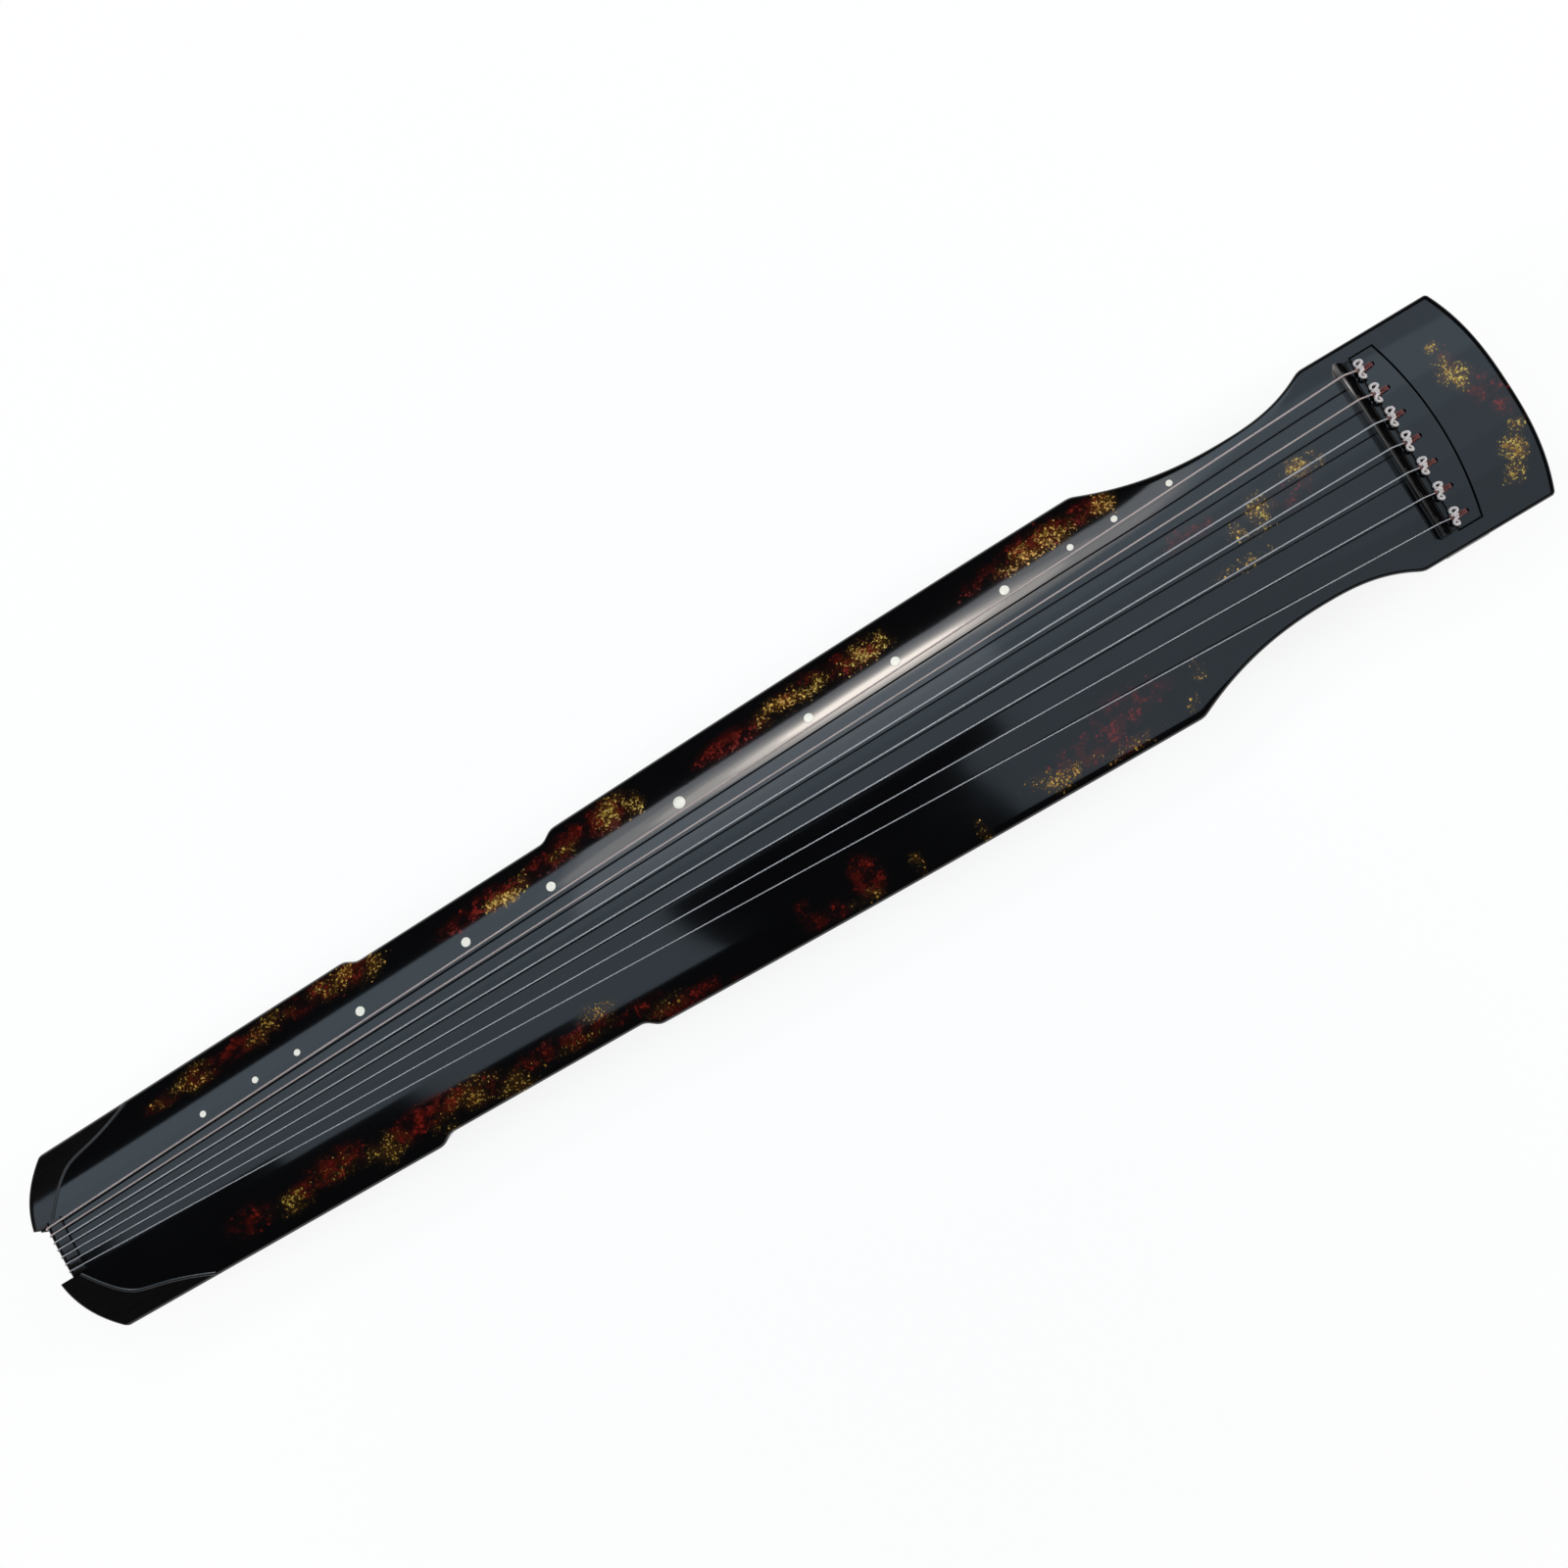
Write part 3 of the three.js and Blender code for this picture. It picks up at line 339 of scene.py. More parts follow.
skin = new_piece("skin", stock_points, skin_faces)
skin_normals = [Vector(normal.vector) for normal in skin.data.vertex_normals]
skin.data.calc_loop_triangles()
skin_triangles = [tuple(triangle.vertices) for triangle in skin.data.loop_triangles]
skin_corners = [vertex.co.copy() for vertex in skin.data.vertices]
skin_tree = BVHTree.FromPolygons(skin_corners, skin_triangles)
bpy.data.objects.remove(skin)
skin_reach = 0.2 * mm
skin_facing = 0.9


def polish(piece):
    """Faces left of the stock's skin take its own smooth normals, so that reflections run on
    unbroken past every pocket."""
    smooth(piece)
    mesh = piece.data
    normals = [Vector((0, 0, 0))] * len(mesh.loops)
    found = {}
    for polygon in mesh.polygons:
        spot, facing, _, gap = skin_tree.find_nearest(polygon.center)
        if gap > skin_reach or facing.dot(polygon.normal) < skin_facing:
            continue
        for loop in polygon.loop_indices:
            vertex = mesh.loops[loop].vertex_index
            if vertex not in found:
                spot, _, place, _ = skin_tree.find_nearest(mesh.vertices[vertex].co)
                corners = skin_triangles[place]
                weights = poly_3d_calc([skin_corners[corner] for corner in corners], spot)
                normal = Vector((0, 0, 0))
                for corner, weight in zip(corners, weights):
                    normal += skin_normals[corner] * weight
                found[vertex] = normal.normalized()
            normals[loop] = found[vertex]
    mesh.normals_split_custom_set(normals)
    return piece


class Shade:
    """One socket of a material's tree. Sums and products of shades add their Math nodes."""

    def __init__(self, socket):
        self.socket = socket

    def maths(self, kind, first, second):
        node = self.socket.id_data.nodes.new("ShaderNodeMath")
        node.operation = kind
        for place, value in enumerate((first, second)):
            plug_in(node.inputs[place], value)
        return Shade(node.outputs[0])

    def __add__(self, other):
        return self.maths("ADD", self, other)

    def __radd__(self, other):
        return self.maths("ADD", other, self)

    def __sub__(self, other):
        return self.maths("SUBTRACT", self, other)

    def __rsub__(self, other):
        return self.maths("SUBTRACT", other, self)

    def __mul__(self, other):
        return self.maths("MULTIPLY", self, other)

    def __rmul__(self, other):
        return self.maths("MULTIPLY", other, self)

    def __lt__(self, other):
        return self.maths("LESS_THAN", self, other)

    def __gt__(self, other):
        return self.maths("GREATER_THAN", self, other)


def plug_in(socket, value):
    """A shade or a socket is linked in, and anything else is the socket's value."""
    if isinstance(value, Shade):
        value = value.socket
    if isinstance(value, bpy.types.NodeSocket):
        socket.id_data.links.new(value, socket)
    else:
        socket.default_value = value


def put(tree, kind, settings=None, sockets=None):
    """Adds a node, its settings first and then the values or links of its sockets."""
    node = tree.nodes.new(kind)
    for name, value in (settings or {}).items():
        setattr(node, name, value)
    for name, value in (sockets or {}).items():
        plug_in(node.inputs[name], value)
    return node


class Finish:
    """A material of one principled shader, built up node by node."""

    def __init__(self, name):
        self.material = bpy.data.materials.new(name)
        self.material.use_nodes = True
        self.tree = self.material.node_tree
        self.shader = self.tree.nodes["Principled BSDF"]
        self.place = self.node("ShaderNodeTexCoord", output="Object")

    def node(self, kind, settings=None, sockets=None, output=0):
        """One node, and its output as a shade."""
        return Shade(put(self.tree, kind, settings, sockets).outputs[output])

    def stretched(self, scale):
        """The piece's own coordinates, stretched by a scale for each axis."""
        return self.node("ShaderNodeMapping", None, {"Vector": self.place, "Scale": scale})

    def noise(self, scale, detail=4, place=None, roughness=0.5):
        sockets = {"Vector": place or self.place, "Scale": scale, "Detail": detail}
        sockets["Roughness"] = roughness
        return self.node("ShaderNodeTexNoise", None, sockets, "Fac")

    def blend(self, share, first, second):
        """A colour between two colours."""
        mixer = put(self.tree, "ShaderNodeMix", {"data_type": "RGBA"})
        plug_in(mixer.inputs["Factor"], share)
        plug_in(mixer.inputs[6], first)
        plug_in(mixer.inputs[7], second)
        return Shade(mixer.outputs[2])

    def between(self, share, low, high):
        """A number that runs from low to high as a share runs from 0 to 1."""
        sockets = {"Value": share, "To Min": low, "To Max": high}
        return self.node("ShaderNodeMapRange", {"clamp": True}, sockets)

    def patches(self, scale, detail, level, slope, low=0, high=1):
        """Soft patches: low where a noise lies below a level, and high above it."""
        return self.between((self.noise(scale, detail) - level) * slope, low, high)

    def larger(self, first, second):
        return self.node("ShaderNodeMath", {"operation": "MAXIMUM"}, {0: first, 1: second})

    def attribute(self, name):
        return self.node("ShaderNodeAttribute", {"attribute_name": name}, None, "Fac")

    def bump(self, height, distance, strength=1.0):
        sockets = {"Height": height, "Distance": distance, "Strength": strength}
        plug_in(self.shader.inputs["Normal"], self.node("ShaderNodeBump", None, sockets, "Normal"))

    def give(self, **values):
        """Sets or links sockets of the shader, named with underscores for spaces."""
        for name, value in values.items():
            plug_in(self.shader.inputs[name.replace("_", " ")], value)
        return self.material


def colour(red, green, blue):
    return (red, green, blue, 1)


def threads(finish, scale, density):
    """Winding threads of dust, broken up where the dust is thin: 1 at their middles."""
    offset = finish.noise(scale, 2) - 0.5
    grain = finish.noise(scale * 2.6, 1) - 0.5
    away = offset.maths("ABSOLUTE", offset, 0)
    strength = density * 0.75 + grain * 2.2 - away * 8
    return finish.between(density * 5, 0, 1) * finish.between(strength * 2.2, 0, 1)


def grains(finish, cell, density, size):
    """Round soft-edged grains, one in each cell of a given width where the dust is dense enough."""
    cells = put(finish.tree, "ShaderNodeTexVoronoi", None, {"Vector": finish.place, "Scale": 1 / cell})
    chance = put(finish.tree, "ShaderNodeSeparateColor", None, {"Color": cells.outputs["Color"]})
    there = Shade(chance.outputs[0]) < density
    width = finish.between(Shade(chance.outputs[1]), size / 2, size)
    return there * finish.between((width - Shade(cells.outputs["Distance"])) * 4, 0, 1)


lacquer_black, lacquer_soft_black = (0.0016, 0.0016, 0.0018), (0.003, 0.003, 0.0034)
red_stain, gold_stain = (0.045, 0.0035, 0.0022), (0.085, 0.036, 0.005)
red_deep, red_bright = (0.05, 0.005, 0.003), (0.17, 0.011, 0.007)
gold_deep, gold_lemon, gold_orange = (0.26, 0.13, 0.016), (0.62, 0.46, 0.09), (0.8, 0.45, 0.1)


def lacquer_finish():
    """Black lacquer with a faint waviness, and dust sprinkled where the clouds are."""
    finish = Finish("black_lacquer")
    gold = finish.attribute("gold_dust") * finish.patches(65, 2, 0.4, 5.5, 0.1, 1.3)
    red = finish.attribute("red_dust") * finish.patches(110, 3, 0.42, 6, 0.15, 1.3)
    coarse = grains(finish, 3 * mm, gold * 0.5, 0.5)
    fine = grains(finish, 1.7 * mm, gold * 0.6, 0.55)
    gilt = finish.larger(finish.larger(coarse, fine), threads(finish, 210, gold * 0.75))
    reds = grains(finish, 3.4 * mm, red * 0.7, 0.6)
    red_spots = finish.larger(reds, threads(finish, 170, red * 0.8))
    depth = finish.noise(14, 2)
    ground = finish.blend(depth, colour(*lacquer_black), colour(*lacquer_soft_black))
    stained = finish.blend(finish.between(red * 1.1, 0, 0.85), ground, colour(*red_stain))
    stained = finish.blend(finish.between(gold * 0.9, 0, 0.7), stained, colour(*gold_stain))
    flush = finish.patches(60, 2, 0.42, 5)
    red_tone = finish.blend(flush, colour(*red_deep), colour(*red_bright))
    dusted = finish.blend(red_spots * 0.8, stained, red_tone)
    # Painted glints: some gold grains are painted brighter at random, standing in for the glints of the
    # flakes
    painted_glint = finish.patches(330, 1, 0.4, 4)
    hue = finish.between((finish.noise(9, 1) - 0.5) * 6 + 0.5, 0, 1)
    bright = finish.blend(hue, colour(*gold_lemon), colour(*gold_orange))
    gold_tone = finish.blend(painted_glint, colour(*gold_deep), bright)
    smear = finish.between(finish.noise(8, 5), 0.05, 0.09)
    roughness = smear + gilt * 0.2 + red_spots * 0.06
    finish.bump(finish.noise(22, 1), 0.08 * mm)
    tone = finish.blend(gilt, dusted, gold_tone)
    return finish.give(Base_Color=tone, Roughness=roughness, Metallic=gilt * 0.3, IOR=1.52)


timber_dark, timber_light, timber_vein = (0.3, 0.17, 0.08), (0.52, 0.34, 0.18), (0.2, 0.11, 0.05)


def timber_finish():
    """Bare light timber with long grain, as inside the hollow of the board."""
    finish = Finish("inner_timber")
    along = finish.stretched((6, 60, 60))
    grain = finish.noise(6, 6, along, 0.6)
    fibre = finish.noise(90, 3, along, 0.6)
    tone = finish.blend(grain, colour(*timber_dark), colour(*timber_light))
    tone = finish.blend(fibre * 0.35, tone, colour(*timber_vein))
    finish.bump(fibre, 0.15 * mm, 0.6)
    return finish.give(Base_Color=tone, Roughness=finish.between(grain, 0.6, 0.8))


# Each cloud of dust: its distance from the bridge towards the tail, its place across the
# board, half its length, half its width, and how dense it is at its middle
gold_clouds = [
    (188, 75, 9, 8, 0.65), (212, 78, 16, 5, 0.3), (238, 74, 30, 8, 0.8), (262, 70, 16, 5, 0.5),
    (384, 74, 16, 9, 0.85), (402, 71, 12, 6, 0.3), (450, 72, 24, 8, 0.85), (470, 70, 14, 6, 0.5),
    (603, 66, 15, 12, 0.75), (590, 62, 8, 8, 0.4), (652, 60, 14, 5, 0.4), (706, 54, 17, 6, 1.0),
    (694, 60, 8, 6, 0.4), (830, 66, 19, 10, 0.75), (856, 66, 14, 8, 0.3), (903, 67, 16, 8, 0.2),
    (922, 61, 12, 6, 0.35), (974, 60, 16, 8, 0.55), (1000, 57, 14, 5, 0.2),
    (193, -64, 4, 5, 0.9), (207, -80, 4, 6, 0.8), (262, -84, 26, 4, 0.3), (308, -80, 22, 6, 0.5),
    (330, -74, 14, 5, 0.2), (382, -84, 4, 8, 0.4), (434, -78, 4, 9, 0.35), (478, -82, 13, 4, 0.7),
    (642, -74, 18, 5, 0.15), (688, -53, 14, 7, 0.25), (705, -64, 24, 5, 0.1), (764, -66, 20, 8, 0.3),
    (800, -56, 24, 10, 0.3), (824, -66, 12, 8, 0.25), (872, -60, 17, 9, 0.35), (912, -52, 16, 9, 0.12),
    (952, -57, 17, 7, 0.42), (56, 25, 12, 7, 0.9), (44, 20, 5, 4, 1.0), (98, 13, 10, 11, 0.65),
    (108, 6, 16, 9, 0.45), (126, -16, 22, 5, 0.25), (-66, 48, 5, 4, 0.85), (-65, 30, 7, 12, 0.7),
    (-72, 20, 8, 9, 0.65), (-88, -28, 6, 6, 0.45), (-76, -44, 9, 9, 1.05), (-68, -56, 9, 8, 0.5),
]
red_clouds = [
    (206, 78, 22, 7, 0.65), (240, 78, 32, 8, 0.9), (272, 74, 20, 8, 0.4), (300, 72, 16, 6, 0.25),
    (402, 73, 24, 8, 0.9), (440, 76, 20, 6, 0.45), (504, 67, 24, 7, 1.0), (528, 64, 12, 5, 0.35),
    (612, 67, 18, 11, 1.1), (640, 68, 16, 8, 0.65), (668, 60, 20, 7, 0.7), (716, 58, 24, 8, 0.8),
    (748, 55, 16, 6, 0.4), (846, 67, 28, 9, 0.6), (880, 66, 18, 8, 0.35), (930, 63, 28, 7, 0.7),
    (966, 60, 16, 7, 0.7), (1004, 57, 18, 5, 0.3),
    (246, -60, 30, 12, 0.5), (282, -72, 30, 10, 0.6), (258, -84, 20, 5, 0.25), (470, -68, 11, 13, 0.85),
    (508, -78, 16, 6, 0.5), (522, -66, 7, 5, 0.4), (600, -84, 16, 3, 0.15), (630, -78, 26, 6, 0.55),
    (662, -66, 20, 5, 0.3), (706, -60, 22, 7, 0.6), (742, -58, 20, 6, 0.4), (790, -58, 16, 8, 0.3),
    (826, -52, 26, 8, 1.0), (852, -56, 18, 8, 0.6), (912, -50, 24, 9, 0.65), (938, -54, 14, 7, 0.5),
    (988, -53, 17, 9, 0.42), (70, 12, 18, 12, 0.3), (146, 24, 24, 7, 0.4), (-78, 8, 10, 12, 0.5),
    (-86, -6, 8, 14, 0.5), (-70, 34, 6, 10, 0.3),
]


dust_floor = seam_z + 8 * mm


def dust(piece):
    """Writes how dense the two kinds of dust are at every point of a lacquered piece."""
    count = len(piece.data.vertices)
    places = np.zeros(count * 3)
    piece.data.vertices.foreach_get("co", places)
    places = places.reshape(-1, 3)
    on_face = places[:, 2] > dust_floor
    for name, clouds in (("gold_dust", gold_clouds), ("red_dust", red_clouds)):
        density = np.zeros(count)
        for from_bridge, across, half_long, half_wide, middle in clouds:
            x = (places[:, 0] - (bridge_x - from_bridge * mm)) / (half_long * mm)
            y = (places[:, 1] - across * mm) / (half_wide * mm)
            density = np.maximum(density, middle * np.exp(-(x * x + y * y) ** 2))
        written = piece.data.attributes.new(name, "FLOAT", "POINT")
        written.data.foreach_set("value", (density * on_face).astype(np.float32))


def paint(piece, material, chosen):
    """Gives a further material to the chosen faces."""
    piece.data.materials.append(material)
    slot = len(piece.data.materials) - 1
    for polygon in piece.data.polygons:
        if chosen(polygon):
            polygon.material_index = slot


def dull_finish():
    """Black left dull, where the polishing stone does not reach."""
    finish = Finish("dull_black")
    black = colour(0.003, 0.003, 0.003)
    return finish.give(Base_Color=black, Roughness=0.7, Specular_IOR_Level=0.12)


lacquer = lacquer_finish()
timber = timber_finish()
dull_black = dull_finish()

notch_half = 21 * mm
notch_x = tail_tip + 12.5 * mm
gum_low, gum_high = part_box("dragon_gum")
lower_gum_low, lower_gum_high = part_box("lower_gum")
plate_low, plate_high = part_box("string_hole_plate")
pool_low, pool_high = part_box("peg_pool_plate")
above_face = top_z + overrun

# Arc of the string-hole plate's head side, and the groove left round the plate
plate_side = bridge_x + 33 * mm
plate_middle = bridge_x + 42 * mm
plate_front = bridge_high.x
plate_half = plate_high.y
plate_groove = 0.7 * mm
plate_arc_points = 41


def plate_outline(grow):
    """Plan outline of the plate, grown by a margin all round."""
    side = plate_side + grow
    half = plate_half + grow
    arc = [
        (mix(plate_middle + grow, side, share ** 2), half * share)
        for share in np.linspace(-1, 1, plate_arc_points)
    ]
    return [(plate_front - grow, -half), *arc, (plate_front - grow, half)]


# The long scroll that bounds each tail horn
scroll_from_nut = 2 * mm
scroll_to_nut = 101 * mm
horn_thickness = 9 * mm
horn_z = top_z - crown - horn_thickness
horn_inner = gum_high.y + 0.6 * mm
horn_edge = tail_half + side_lean
scroll_pulls = [(0, 0), (0.36, 0.9), (0.25, 0.335), (1, 1)]
scroll_steps = 48


def scroll_point(share, way, shift=0):
    """A point of the scroll in plan, from the nut's end to the side of the board."""
    weights = [(1 - share) ** 3, 3 * share * (1 - share) ** 2, 3 * share ** 2 * (1 - share), share ** 3]
    along = sum(weight * pull[0] for weight, pull in zip(weights, scroll_pulls))
    out = sum(weight * pull[1] for weight, pull in zip(weights, scroll_pulls))
    x = mix(nut_x + scroll_from_nut, nut_x + scroll_to_nut, along) + shift
    return x, way * mix(horn_inner, horn_edge, out)


def horn_outline(way, shift):
    """Plan outline of a tail horn, reaching past the edges of the board."""
    curve = [scroll_point(share, way, shift) for share in np.linspace(0, 1, scroll_steps)]
    inner = way * (horn_inner - shift)
    outline = [(curve[0][0], inner), *curve[1:], (tail_tip - overrun, way * horn_edge)]
    outline.append((tail_tip - overrun, inner))
    return outline if way > 0 else outline[::-1]


# The hollow under the face, thicker over the two sound holes
chamber_wall = 14 * mm
chamber_tail = nut_x + 122 * mm
chamber_head = neck - 8 * mm
face_thickness = 13 * mm
pad_thickness = 9 * mm
pad_half = 34 * mm
pad_margin = 22 * mm
pad_edge = 12 * mm
dragon_pool = (bridge_x - 410 * mm, 100 * mm)
phoenix_pond = (bridge_x - 919 * mm, 55 * mm)
chamber_rows, chamber_columns = 120, 21


def pad_depth(x, y):
    """How much thicker the face is at a place, over the sound holes."""
    depths = []
    for centre, half_length in (dragon_pool, phoenix_pond):
        along = eased((np.abs(x - centre) - half_length - pad_margin) / pad_edge)
        across = eased((np.abs(y) - pad_half) / pad_edge)
        depths.append(pad_thickness * (1 - along) * (1 - across))
    return np.maximum(*depths)


def chamber_tool():
    stations = np.linspace(chamber_tail, chamber_head, chamber_rows)
    half = np.minimum(soft_half(stations), taper_half(stations)) - chamber_wall
    x = np.repeat(stations[:, None], chamber_columns, axis=1)
    y = half[:, None] * np.linspace(-1, 1, chamber_columns)
    ceiling = face_height(x, y) - face_thickness - pad_depth(x, y)
    ceiling = np.stack([x, y, ceiling], axis=-1).reshape(-1, 3)
    rim = rim_of(chamber_rows, chamber_columns)
    floor = ceiling[rim]
    floor[:, 2] = seam_z - overrun
    low = list(range(len(ceiling), len(ceiling) + len(rim)))
    faces = grid_faces(chamber_rows, chamber_columns) + band_faces(low, rim)
    return new_piece("chamber", np.concatenate([ceiling, floor]), faces + [tuple(reversed(low))])


def in_chamber(centre):
    deep = centre.z < face_height(centre.x, centre.y) - face_thickness / 2
    inside = chamber_tail - fit < centre.x < chamber_head + fit
    return deep and inside and abs(centre.y) < soft_half(centre.x) - chamber_wall / 2


pool_radius = 6 * mm


def pool_tool():
    pool_x = (pool_low.x + pool_high.x) / 2
    half_x, half_y = (pool_high.x - pool_low.x) / 2 + fit, pool_high.y + fit
    outline = rounded_slot(pool_x, half_x, half_y, pool_radius)
    return prism(outline, bottom_z - overrun, pool_high.z + fit)


def notch_tool():
    low = (tail_tip - overrun, -notch_half, 0)
    return block(low, (notch_x, notch_half, above_face))


def lower_gum_tool():
    low = (tail_tip - overrun, -lower_gum_high.y - fit, bottom_z - overrun)
    return block(low, (lower_gum_high.x + fit, lower_gum_high.y + fit, lower_gum_high.z + fit))


def socket_tool(side):
    low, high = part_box(f"foot_socket_{side}")
    grow = Vector((fit, fit, fit))
    return block(low - grow - Vector((0, 0, overrun)), high + grow)


# String places across the bridge, from the thickest string to the thinnest
string_numbers = range(1, 8)
cord_hole_x = (pool_low.x + pool_high.x) / 2
cord_hole_radius = 2.6 * mm
bridge_span, bridge_middle = 125 * mm, -1.5 * mm


def bridge_y(number):
    return bridge_middle + bridge_span * (0.5 - (number - 1) / 6)


# Places of the thirteen studs: simple fractions of the string
stud_shares = [1 / 8, 1 / 6, 1 / 5, 1 / 4, 1 / 3, 2 / 5, 1 / 2, 3 / 5, 2 / 3, 3 / 4, 4 / 5, 5 / 6, 7 / 8]
stud_radii = [2.5, 2.5, 2.5, 3.6, 3.6, 3.6, 4.65, 3.6, 3.6, 3.6, 2.5, 2.5, 2.5]
stud_line = (68 * mm, 27 * mm)
stud_depth = 1.4 * mm
stud_hole_sides = 48


def stud_place(number):
    """Where a stud's middle lies on the face, and how the face tilts there."""
    share = stud_shares[number]
    x = bridge_x - string_length * share
    y = mix(*stud_line, share)
    slope = (face_height(x, y + mm) - face_height(x, y - mm)) / (2 * mm)
    return Vector((x, y, float(face_height(x, y)))), Vector((0, -float(slope), 1)).normalized()


def stud_tool(number):
    place, normal = stud_place(number)
    hole = rod(0, 0, -stud_depth - fit, overrun, stud_radii[number] * mm + fit, stud_hole_sides)
    tilt = normal.to_track_quat("Z", "Y").to_matrix().to_4x4()
    hole.data.transform(Matrix.Translation(place) @ tilt)
    return hole


board = face_stock("lacquered_face", lacquer, timber)
carve(
    board,
    notch_tool(),
    chamber_tool(),
    block(
        (bridge_low.x - fit, bridge_low.y - fit, bridge_low.z - fit),
        (bridge_high.x + fit, bridge_high.y + fit, above_face),
    ),
    prism(plate_outline(plate_groove), bridge_low.z, above_face),
    pool_tool(),
    block(
        (tail_tip - overrun, gum_low.y - fit, gum_low.z - fit),
        (gum_high.x + fit, gum_high.y + fit, above_face),
    ),
    lower_gum_tool(),
    prism(horn_outline(1, fit), horn_z - fit, above_face),
    prism(horn_outline(-1, fit), horn_z - fit, above_face),
    socket_tool("far"),
    socket_tool("near"),
    *[
        rod(cord_hole_x, bridge_y(number), pool_high.z - overrun, top_z, cord_hole_radius)
        for number in string_numbers
    ],
    *[stud_tool(number) for number in range(len(stud_shares))],
)


notch_reach_x = notch_x + 0.5 * mm
notch_reach_y = horn_inner + 0.3 * mm
pocket_tail = bridge_x - 1 * mm
pocket_head = plate_middle + 2 * mm
pocket_half = plate_half + 3 * mm
pocket_depth = 1 * mm


def in_notch(polygon):
    """Whether a face is a wall of the notch at the tail."""
    centre = polygon.center
    within = centre.x < notch_reach_x and abs(centre.y) < notch_reach_y
    return within and abs(polygon.normal.z) < 0.5


def in_pocket(polygon):
    """Whether a face is deep in the groove round the bridge and the plate."""
    centre = polygon.center
    within = pocket_tail < centre.x < pocket_head and abs(centre.y) < pocket_half
    depth = float(face_height(centre.x, centre.y)) - centre.z
    return within and depth > pocket_depth and centre.z > bridge_low.z - pocket_depth


for polygon in board.data.polygons:
    polygon.material_index = 1 if in_chamber(polygon.center) else 0
paint(board, dull_black, in_notch)
paint(board, dull_black, in_pocket)
polish(board)
dust(board)
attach(board, "root")
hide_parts("face_board")


# Bottom board: a flat plank of the same outline, glued under the face board and lacquered
# with it. Two long sound holes, the peg pool and the sockets of the feet are cut through it.
bottom_round = 1.8 * mm
bottom_round_steps = 4
sound_hole_half = 12.5 * mm
sound_hole_radius = 10 * mm


def inward(ring, depth):
    """A plan ring drawn in by a depth."""
    along = np.roll(ring, -1, axis=0) - np.roll(ring, 1, axis=0)
    length = np.hypot(along[:, 0], along[:, 1])
    drawn = ring.copy()
    drawn[:, 0] -= along[:, 1] / length * depth
    drawn[:, 1] += along[:, 0] / length * depth
    return drawn


def places_of(rings):
    """The places of the points of each ring, when the rings are listed one after another."""
    count = len(rings[0])
    return [list(range(step * count, (step + 1) * count)) for step in range(len(rings))]


def bottom_stock():
    rings = [leaned(seam_z), leaned(bottom_z + bottom_round)]
    for step in range(1, bottom_round_steps + 1):
        angle = math.pi / 2 * step / bottom_round_steps
        ring = inward(leaned(bottom_z), bottom_round * (1 - math.cos(angle)))
        ring[:, 2] = bottom_z + bottom_round * (1 - math.sin(angle))
        rings.append(ring)
    places = places_of(rings)
    faces = [tuple(places[0]), tuple(reversed(places[-1]))]
    for high, low in zip(places, places[1:]):
        faces += band_faces(low, high)
    return new_piece("lacquered_bottom", np.concatenate(rings), faces, lacquer, timber)


def sound_hole_tool(centre, half_length):
    outline = rounded_slot(centre, half_length, sound_hole_half, sound_hole_radius, 12)
    return prism(outline, bottom_z - overrun, seam_z + overrun)


bottom = bottom_stock()
carve(
    bottom,
    notch_tool(),
    pool_tool(),
    lower_gum_tool(),
    socket_tool("far"),
    socket_tool("near"),
    sound_hole_tool(*dragon_pool),
    sound_hole_tool(*phoenix_pond),
)
for polygon in bottom.data.polygons:
    inside = polygon.normal.z > 0.9 and abs(polygon.center.z - seam_z) < fit
    polygon.material_index = 1 if inside else 0
smooth(bottom)
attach(bottom, "root")
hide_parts("bottom_board")


# Inside the hollow: two posts between the boards, one round and one square, and the two
# blocks that take the tenons of the feet. All are bare timber, glued in place.
def finished(node, material):
    """A plain piece of the frame, in one finish."""
    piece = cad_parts[node]
    piece.data.materials.clear()
    piece.data.materials.append(material)
    return piece


for node in ("heaven_post", "earth_post", "foot_socket_far", "foot_socket_near"):
    inner = finished(node, timber)


# Bridge: a bar of dark hardwood let into the face, its top following the arch of the board,
# upright towards the strings and sloped back steeply to a low ledge for the knots. Each string
# lies in a shallow groove, and a paler line is painted along the front edge as a painted
# highlight, brightest under the thickest strings.
bridge_top_width = 1.8 * mm
bridge_height = 16 * mm
bridge_foot = 9 * mm
bridge_ledge = 1.2 * mm
bridge_lift = 0.55 * mm
bridge_end_round = 1.2 * mm
bridge_end_drop = 0.8 * mm
bridge_steps = 300
bridge_edge = 1.1 * mm
# Painted highlight: the bridge's front edge is painted paler, brightest near the two thickest strings
highlight_reach = 0.9 * mm
highlight_middle = 0.6
highlight_spread = 0.12
highlight_near, highlight_far = 0.03, 0.22
groove_depth = 0.25 * mm
groove_half = 0.9 * mm
corner_share = 0.48


def softened(points, reach, steps=4, closed=True):
    """The same outline with each corner drawn as a short curve."""
    places = [np.array(point, float) for point in points]
    result = []
    for k, here in enumerate(places):
        if not closed and k in (0, len(places) - 1):
            result.append(here)
            continue
        back = places[k - 1] - here
        fore = places[(k + 1) % len(places)] - here
        start = here + back * min(reach / np.linalg.norm(back), corner_share)
        end = here + fore * min(reach / np.linalg.norm(fore), corner_share)
        for share in np.linspace(0, 1, steps + 1):
            result.append(start * (1 - share) ** 2 + here * 2 * share * (1 - share) + end * share ** 2)
    return result


def turned_outwards(piece):
    """Turns the faces of a closed piece outwards."""
    shell = bmesh.new()
    shell.from_mesh(piece.data)
    bmesh.ops.recalc_face_normals(shell, faces=shell.faces)
    shell.to_mesh(piece.data)
    shell.free()
    return piece


